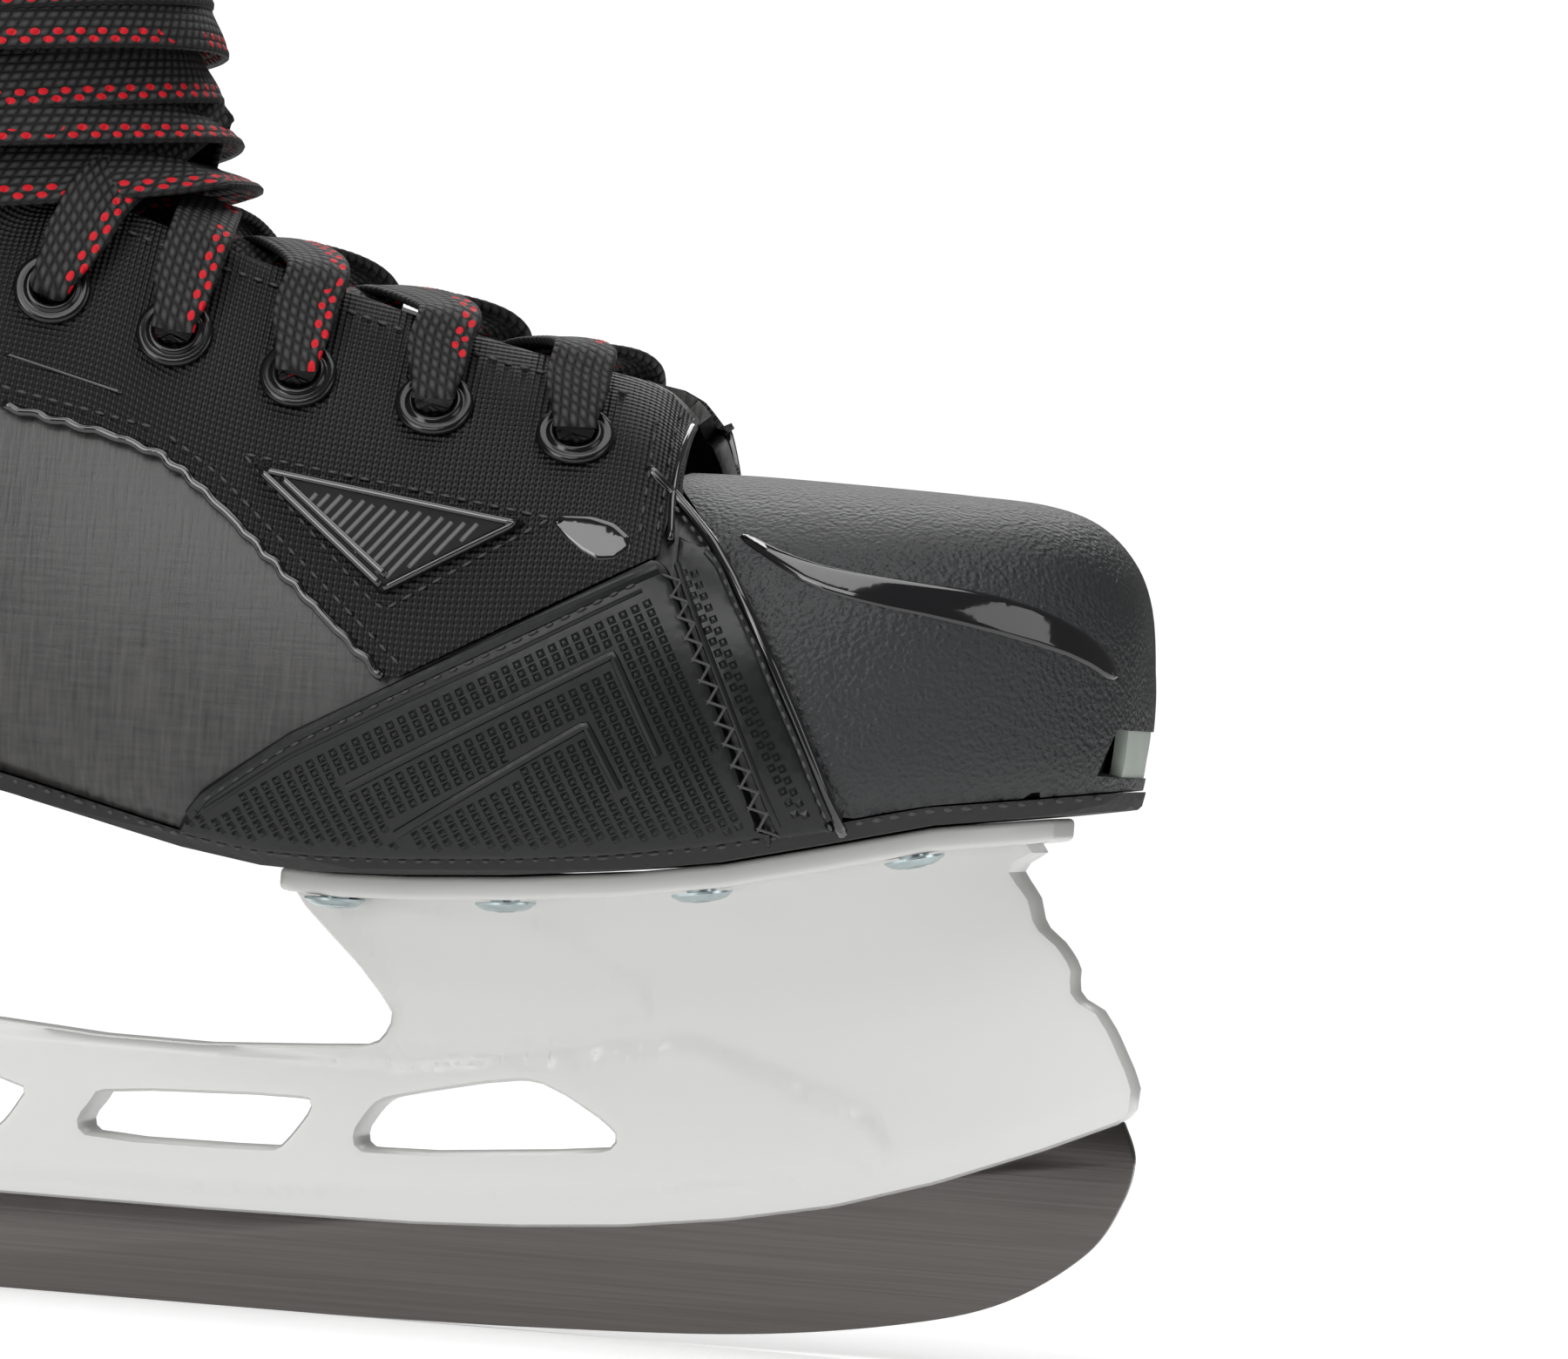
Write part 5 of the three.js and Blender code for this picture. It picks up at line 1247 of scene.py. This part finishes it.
straps = bmesh.new()
run = 0.0
for side, other in (sides, sides[::-1]):
    for i in range(lace["strapsEachSide"]):
        hole = eyeletSeats[side][i]
        edgeX = lace["overEdge"][i]
        edgeZ = float(lineAt(facingTop, edgeX))
        edge = onBoot(edgeX, edgeZ - 0.6, side)
        half = onBoot((eyeletPlaces[i][0] + edgeX) / 2, (eyeletPlaces[i][1] + edgeZ) / 2, side)
        way = [stop(hole, -lace["tuck"], bunch), stop(hole, 1.5, bunch), stop(hole, 4.0, (6.4, 2.6)),
               stop(half, lace["lift"] + 1.3, flat), stop(edge, lace["lift"] + 0.3, flat)]
        if i < lace["strapsEachSide"] - 1:
            middle, out = overRidge(lace["crossings"][i], lace["crossDepth"])
            underX = (lace["overEdge"][i + 1] + middle.x) / 2
            under = onBoot(underX, float(lineAt(facingTop, underX)) - 1, other)
            way += [(tuple(middle), tuple(out), *flat), stop(under, -lace["tuck"] - 0.4, flat),
                    stop(eyeletSeats[other][i + 1], -lace["tuck"], tuck)]
        else:
            middle, out = overRidge(18, 5.0)
            way += [(tuple(middle), tuple(out), *flat)]
        path, marks = smoothPath(way, lace["step"])
        layLace(straps, path, marks, run)
        run += marks[-1] + lace["throughBoot"]
firstX = eyeletPlaces[0][0]
way = [stop(eyeletSeats["lateral"][0], -lace["tuck"], tuck),
       stop(onBoot(firstX, 140.6, "lateral"), -lace["tuck"], tuck)]
middle, out = overRidge(11, -lace["tuck"])
way += [(tuple(middle), tuple(out), *tuck), stop(onBoot(firstX, 140.6, "medial"), -lace["tuck"], tuck),
        stop(eyeletSeats["medial"][0], -lace["tuck"], tuck)]
path, marks = smoothPath(way, lace["step"])
layLace(straps, path, marks, run)
run += marks[-1]
strapPiece = finished("lace", straps, laceMaterial)
assign(strapPiece, "lace")

wraps = [   # height at the front and back, lift, lean from outer to inner side, width
    (199, 180, 3.0, 1.0, 9.5),
    (191.5, 172.5, 4.4, -0.6, 9.5),
    (184, 165.5, 3.1, 1.2, 9.5),
    (176.5, 159, 4.5, -1.2, 9.5),
    (168.5, 153.5, 3.2, 0.6, 9.5),
]


def wrapPath(frontZ, backZ, lift, lean, width):
    columns = np.arange(0, bootField["columns"] - 1, 2)
    rows = np.arange(field["noseRows"] + 12 * 15, field["noseRows"] + 12 * 27)
    stops = []
    for k, column in enumerate(columns):
        wave = 0.35 * math.sin(k * 0.11 + frontZ)
        at = bootField["at"][rows, column] + (lift + wave) * bootField["away"][rows, column]
        line = backZ + (at[:, 0] + 140) / 140 * (frontZ - backZ) + lean * at[:, 1] / 40
        above = np.argmax(at[:, 2] > line)
        miss = at[above, 2] - line[above]
        before = line[above - 1] - at[above - 1, 2]
        share = before / (miss + before + 1e-9)
        point = at[above - 1] * (1 - share) + at[above] * share
        stops.append((tuple(point), tuple(bootField["away"][rows[above], column]), width, lace["thickness"]))
    stops.append(stops[0])
    return smoothPath(stops, lace["step"])


for index, spec in enumerate(wraps):
    bm = bmesh.new()
    path, marks = wrapPath(*spec)
    layLace(bm, path, marks, run, closed=True)
    run += marks[-1]
    turnPiece = finished("ankle_wrap_%d" % (index + 1), bm, laceMaterial)
    assign(turnPiece, "lace")
for side in sides:
    repaint("lace_tip_" + side, glossMaterial)
print("lace laid, %.2f m" % (run * mm))


runner = {"thickness": 3.0, "edge": 0.25, "slot": 6.3}
runnerLow = [(31, 0), (61, 0.6), (92, 2.1), (115, 5.3), (131, 9.8), (143, 18), (147.9, 26), (149.3, 32.6),
             (147.4, 37.9)]
runnerTail = [(-31, 0), (-61, 0.6), (-92, 1.9), (-115, 4.4), (-131, 8.6), (-143, 16.6), (-147.9, 24.6),
              (-149.3, 32.2), (-147.6, 37.6)]
holderLow = [(147.4, 38.2), (135.8, 33), (120.6, 27), (105.3, 22.2), (89.8, 19), (74.1, 16.8), (58.4, 15.5),
             (42.6, 14.7), (10.7, 14.3), (-21.3, 14.3), (-52, 14.9), (-80, 16.4), (-100, 18.8), (-118, 22.8),
             (-133, 29.4), (-147.4, 38)]
hookOutline = [(143.6, 42.4), (134, 45), (126, 47), (113, 47), (112, 40), (117, 34)]
tangOutline = [(-84, 22), (-84, 40), (-87, 42.4), (-87, 45), (-84, 46.4), (-85.4, 50), (-96.6, 50), (-98, 48),
               (-98, 26)]


def curveThrough(points, count):
    # an even curve through a list of places
    table = np.array(points, float)
    u = np.linspace(0, len(table) - 1, count)
    return [tuple(p) for p in stationAt(table, u)]


def makeSteelMaterial():
    # dark polished steel with fine lengthwise grinding lines
    material, tree, shader = startMaterial("runnerSteel", 0.24, metallic=1.0)
    place = objectPlace(tree)
    lines = put(tree, "Mapping", {"Vector": place, "Scale": (25, 200, 2600)})
    grind = put(tree, "TexNoise", {"Vector": lines.outputs[0], "Scale": 1.0, "Detail": 6.0})
    clouds = put(tree, "TexNoise", {"Vector": place, "Scale": 45.0, "Detail": 3.0})
    color = blendColors(tree, grind.outputs[0], (0.085, 0.078, 0.074, 1), (0.15, 0.14, 0.135, 1))
    tree.links.new(color, shader.inputs["Base Color"])
    rough = plus(tree, times(tree, clouds.outputs[0], 0.14), 0.17)
    tree.links.new(rough, shader.inputs["Roughness"])
    bumped(tree, shader, grind.outputs[0], 0.25, 0.00003)
    return material


def makeBrightMetal(name, color, roughness):
    material, tree, shader = startMaterial(name, roughness, metallic=1.0)
    clouds = put(tree, "TexNoise", {"Vector": objectPlace(tree), "Scale": 600.0, "Detail": 3.0})
    shade = blendColors(tree, clouds.outputs[0], tuple(c * 0.85 for c in color) + (1,), (*color, 1))
    tree.links.new(shade, shader.inputs["Base Color"])
    rough = plus(tree, times(tree, clouds.outputs[0], 0.2), roughness - 0.1)
    tree.links.new(rough, shader.inputs["Roughness"])
    return material


steelMaterial = makeSteelMaterial()
rivetMaterial = makeBrightMetal("rivetMetal", (0.62, 0.72, 0.74), 0.3)
springMaterial = makeBrightMetal("springMetal", (0.6, 0.6, 0.6), 0.3)

slotLine = [(x, z + runner["slot"]) for x, z in holderLow]
runnerOutline = (curveThrough(runnerLow, 60) + hookOutline + [p for p in slotLine if -84 < p[0] < 112]
                 + tangOutline + [p for p in slotLine if -146 < p[0] < -98] + curveThrough(runnerTail, 60)[::-1])
bm = bmesh.new()
face = bm.faces.new([bm.verts.new((x * mm, -runner["thickness"] / 2 * mm, z * mm)) for x, z in runnerOutline])
grown = bmesh.ops.extrude_face_region(bm, geom=[face])
bmesh.ops.translate(bm, verts=newVerts(grown), vec=(0, runner["thickness"] * mm, 0))
bmesh.ops.recalc_face_normals(bm, faces=bm.faces)
rims = [e for e in bm.edges if abs(e.verts[0].co.y - e.verts[1].co.y) < 1e-6]
bmesh.ops.bevel(bm, geom=rims, offset=runner["edge"] * mm, segments=2, profile=0.5, affect="EDGES", material=-1)
blade = finished("runner", bm, steelMaterial, angle=35)
assign(blade, "runner", "runner_body")


holder = {"web": 6.4, "foot": 1.6, "waist": 39.0, "flange": 3.5, "gap": 0.3, "cell": 1.7,
          "facetRise": 0.8, "flangeGrid": (70, 24), "rings": ((0.45, 0.62), (0.6, 0.88), (0.8, 1.0)), "round": 1.5}
# half widths along x
flangeHalf = [(20, 15), (30, 22), (42, 27.5), (58, 31.5), (84, 33.5), (104, 32.5), (118, 29.5), (128, 24), (135, 17)]
heelFlangeHalf = [(-50, 17), (-58, 23.5), (-70, 27.5), (-94, 28.5), (-116, 26.5), (-128, 21.5), (-136, 14)]
towerHalf = [(-150, 5.6), (-144, 8), (-136, 13), (-124, 13.5), (-98, 17.5), (-70, 16.5), (-58, 13), (-50, 9),
             (-44, 6.4), (12, 6.4), (22, 8), (36, 14), (55, 20), (80, 22.5), (100, 21.5), (115, 17.5), (128, 12),
             (140, 8), (150, 5.6)]
holderFront = [(134.6, 82.2), (131.5, 80.4), (131.9, 79.5), (131.1, 78.4), (132.1, 77), (129, 75), (128.8, 73.9),
               (131.7, 70.4), (132.9, 66.4), (136.4, 63.7), (138.7, 60.6), (138.7, 57.4), (139.3, 56.1),
               (142.7, 54.4), (144.9, 51.4), (147.9, 45.8), (148.9, 43.3), (148.7, 40)]
archLine = [(-50.4, 79.2), (-52.4, 76.4), (-57.4, 68.4), (-61.4, 60), (-63, 52), (-61, 46.4), (-56, 43),
            (-46, 41.2), (-23.3, 40.3), (-7.2, 39.2), (8.8, 39.1), (24.7, 40.1), (32.6, 40.7), (35.2, 41.4),
            (37, 43.8), (37.1, 46.1), (35.3, 48.6), (31.7, 52.8), (23.1, 60.8), (20.6, 64.2), (19.4, 66.4)]
heelBack = [(-148.7, 43), (-146.2, 50), (-142, 57), (-137.6, 65), (-135, 73), (-134.6, 79.4)]
windows = [
    [(-5.9, 31.1), (25.3, 32.4), (26.5, 31.2), (22.2, 24.9), (20.6, 24.3), (-7.4, 24), (-9.1, 26.1), (-6.7, 29.3)],
    [(38.5, 33.4), (56.7, 37.6), (62, 37), (72, 31.3), (72.4, 29.1), (70.6, 27.9), (35.2, 24.8), (32.6, 26.8),
     (35.9, 32.3)],
    [(-16.3, 32), (-45.5, 32.6), (-46.8, 31.2), (-42.2, 24.6), (-22.1, 24.1), (-20.4, 25)],
    [(-55.6, 34.2), (-70, 36.6), (-75, 35.8), (-79, 32), (-79, 29.6), (-77.4, 28.2), (-53, 25.2), (-50.2, 26.8)],
]


def flangeTopAt(x):
    return float(lineAt(soleUnder, x)) - holder["gap"]


facets = [
    [(27.8, 62.5), (62, 61), (75.6, 52.6), (76.1, 49), (60, 42.9), (38.3, 40.6), (38.3, 47.7), (35.7, 52.7)],
    [(83.6, 45.4), (110.4, 35.5), (113.3, 31.8), (109, 28.2), (72, 21.5), (19.7, 18.3), (-20.2, 18), (-60, 19),
     (-78, 21.5), (-78, 40), (-22.1, 38.4), (38.5, 37.9), (60.2, 40.9)],
]


def facetRise(places):
    # how far the raised facets lift each place
    rise = np.zeros(len(places))
    for outline in facets:
        distance = nearestOn(outline, places)[1]
        signed = np.where(insideOf(outline, places[:, 0], places[:, 1]), distance, -distance)
        t = np.clip((signed + 0.9) / 1.8, 0, 1)
        rise += holder["facetRise"] * t * t * (3 - 2 * t)
    return rise


def holderHalf(x, z):
    # half the holder's width at a place in the side view
    near = [x + d for d in (-6, -3, 0, 3, 6)]
    tower = float(np.mean([lineAt(towerHalf, k) for k in near]))
    low = float(lineAt(holderLow, x))
    under = flangeTopAt(x) - holder["flange"]
    waist = max(holder["waist"], low + 8)
    if z < low + 4:
        return holder["web"] - holder["foot"] * min(1, max(0, (low + 4 - z) / 6))
    rise = min(1.0, max(0.0, (z - waist) / max(1, under - waist)))
    return holder["web"] + (tower - holder["web"]) * rise ** 2.2


def flangeEdge(x0, x1):
    return [(x, flangeTopAt(x) - 1.0) for x in np.linspace(x0, x1, 30)]


holderOutline = (holderFront[::-1][:-1] + flangeEdge(133, 20.5) + archLine[::-1][1:-1] + flangeEdge(-52, -134)
                 + heelBack[::-1][1:] + holderLow[::-1])
loops = [rounded(holderOutline, soften=0, spacing=1.6)] + [rounded(w, soften=1, spacing=1.2) for w in windows]
bm, level = filledOutline(loops, holder["rings"], holder["cell"])
rises = facetRise(np.array([(v.co.x, v.co.z) for v in bm.verts]))
for vert, rise in zip(bm.verts, rises):
    full = holderHalf(vert.co.x, vert.co.z) + rise
    vert.co.y = -(full - holder["round"] * (1 - math.sqrt(max(0, 1 - (1 - vert[level]) ** 2))))
edgeLoop = [e for e in bm.edges if e.is_boundary]
rim = bmesh.ops.extrude_edge_only(bm, edges=edgeLoop)
for vert in newVerts(rim):
    vert.co.y = 0
bmesh.ops.mirror(bm, geom=list(bm.verts) + list(bm.edges) + list(bm.faces), axis="Y", merge_dist=0.001)
for half in (flangeHalf, heelFlangeHalf):
    part = bmesh.new()
    lowX, highX = min(p[0] for p in half), max(p[0] for p in half)
    along, across = holder["flangeGrid"]
    bmesh.ops.create_grid(part, x_segments=across, y_segments=along, size=1)
    part.verts.ensure_lookup_table()
    for i in range(along + 1):
        x = lowX + (highX - lowX) * i / along
        ends = min(i, along - i) / 3.0
        wide = float(np.mean([np.interp(x + d, *zip(*sorted(half))) for d in (-4, -2, 0, 2, 4)]))
        wide -= 3.5 * max(0, 1 - ends) ** 2
        for j in range(across + 1):
            y = wide * (j - across // 2) / (across // 2)
            part.verts[i * (across + 1) + j].co = (x, y, flangeTopAt(x) - holder["flange"])
    plate = bmesh.ops.extrude_face_region(part, geom=list(part.faces))
    bmesh.ops.translate(part, verts=newVerts(plate), vec=(0, 0, holder["flange"]))
    bmesh.ops.recalc_face_normals(part, faces=part.faces)
    sharp = [e for e in part.edges if len(e.link_faces) == 2 and e.calc_face_angle() > 0.9]
    bmesh.ops.bevel(part, geom=sharp, offset=0.9, segments=3, profile=0.5, affect="EDGES", material=-1)
    mergeInto(bm, part)
bmesh.ops.recalc_face_normals(bm, faces=bm.faces)
bmesh.ops.scale(bm, vec=(mm, mm, mm), verts=bm.verts)
body = finished("blade_holder", bm, holderMaterial, angle=42)
assign(body, "blade_holder")
print("holder made")


rivet = {"sides": 24, "inset": 5.4, "profile": [(0, -5.6), (1.3, -5.62), (1.9, -5.35), (2.6, -5.45), (3.6, -5.1),
                                                (4.5, -4.45), (4.5, -4.1), (2.2, -4.1), (2.2, -0.4), (0, -0.4)]}
rivetRows = (("front", (29, 55.8, 84.8, 114.9), flangeHalf), ("rear", (-68, -93, -117), heelFlangeHalf))
for place, row, edge in rivetRows:
    for index, x in enumerate(row):
        for side, sign in (("lateral", -1), ("medial", 1)):
            name = "rivet_%s_%s_%d" % (place, side, index + 1)
            y = sign * (float(lineAt(edge, x)) - rivet["inset"])
            slope = (float(lineAt(soleUnder, x + 3)) - float(lineAt(soleUnder, x - 3))) / 6
            tilt = Vector((-slope, 0, 1)).normalized()
            point = Vector((x, y, float(lineAt(soleUnder, x))))
            head = finished(name, turned(rivet["profile"], rivet["sides"], point, tilt), rivetMaterial, angle=50)
            assign(head, name)
for name in ("trigger_pin", "trigger_spring"):
    repaint(name, springMaterial)


floorSize = {"half": 0.75, "glow": 0.35}
bm = bmesh.new()
bmesh.ops.create_grid(bm, x_segments=1, y_segments=1, size=floorSize["half"])
floorMaterial, tree, shader = startMaterial("paleFloor", 0.6)
shader.inputs["Base Color"].default_value = (0.9, 0.9, 0.9, 1)
shader.inputs["Emission Color"].default_value = (1, 1, 1, 1)
shader.inputs["Emission Strength"].default_value = floorSize["glow"]
ground = finished("floor", bm, floorMaterial)
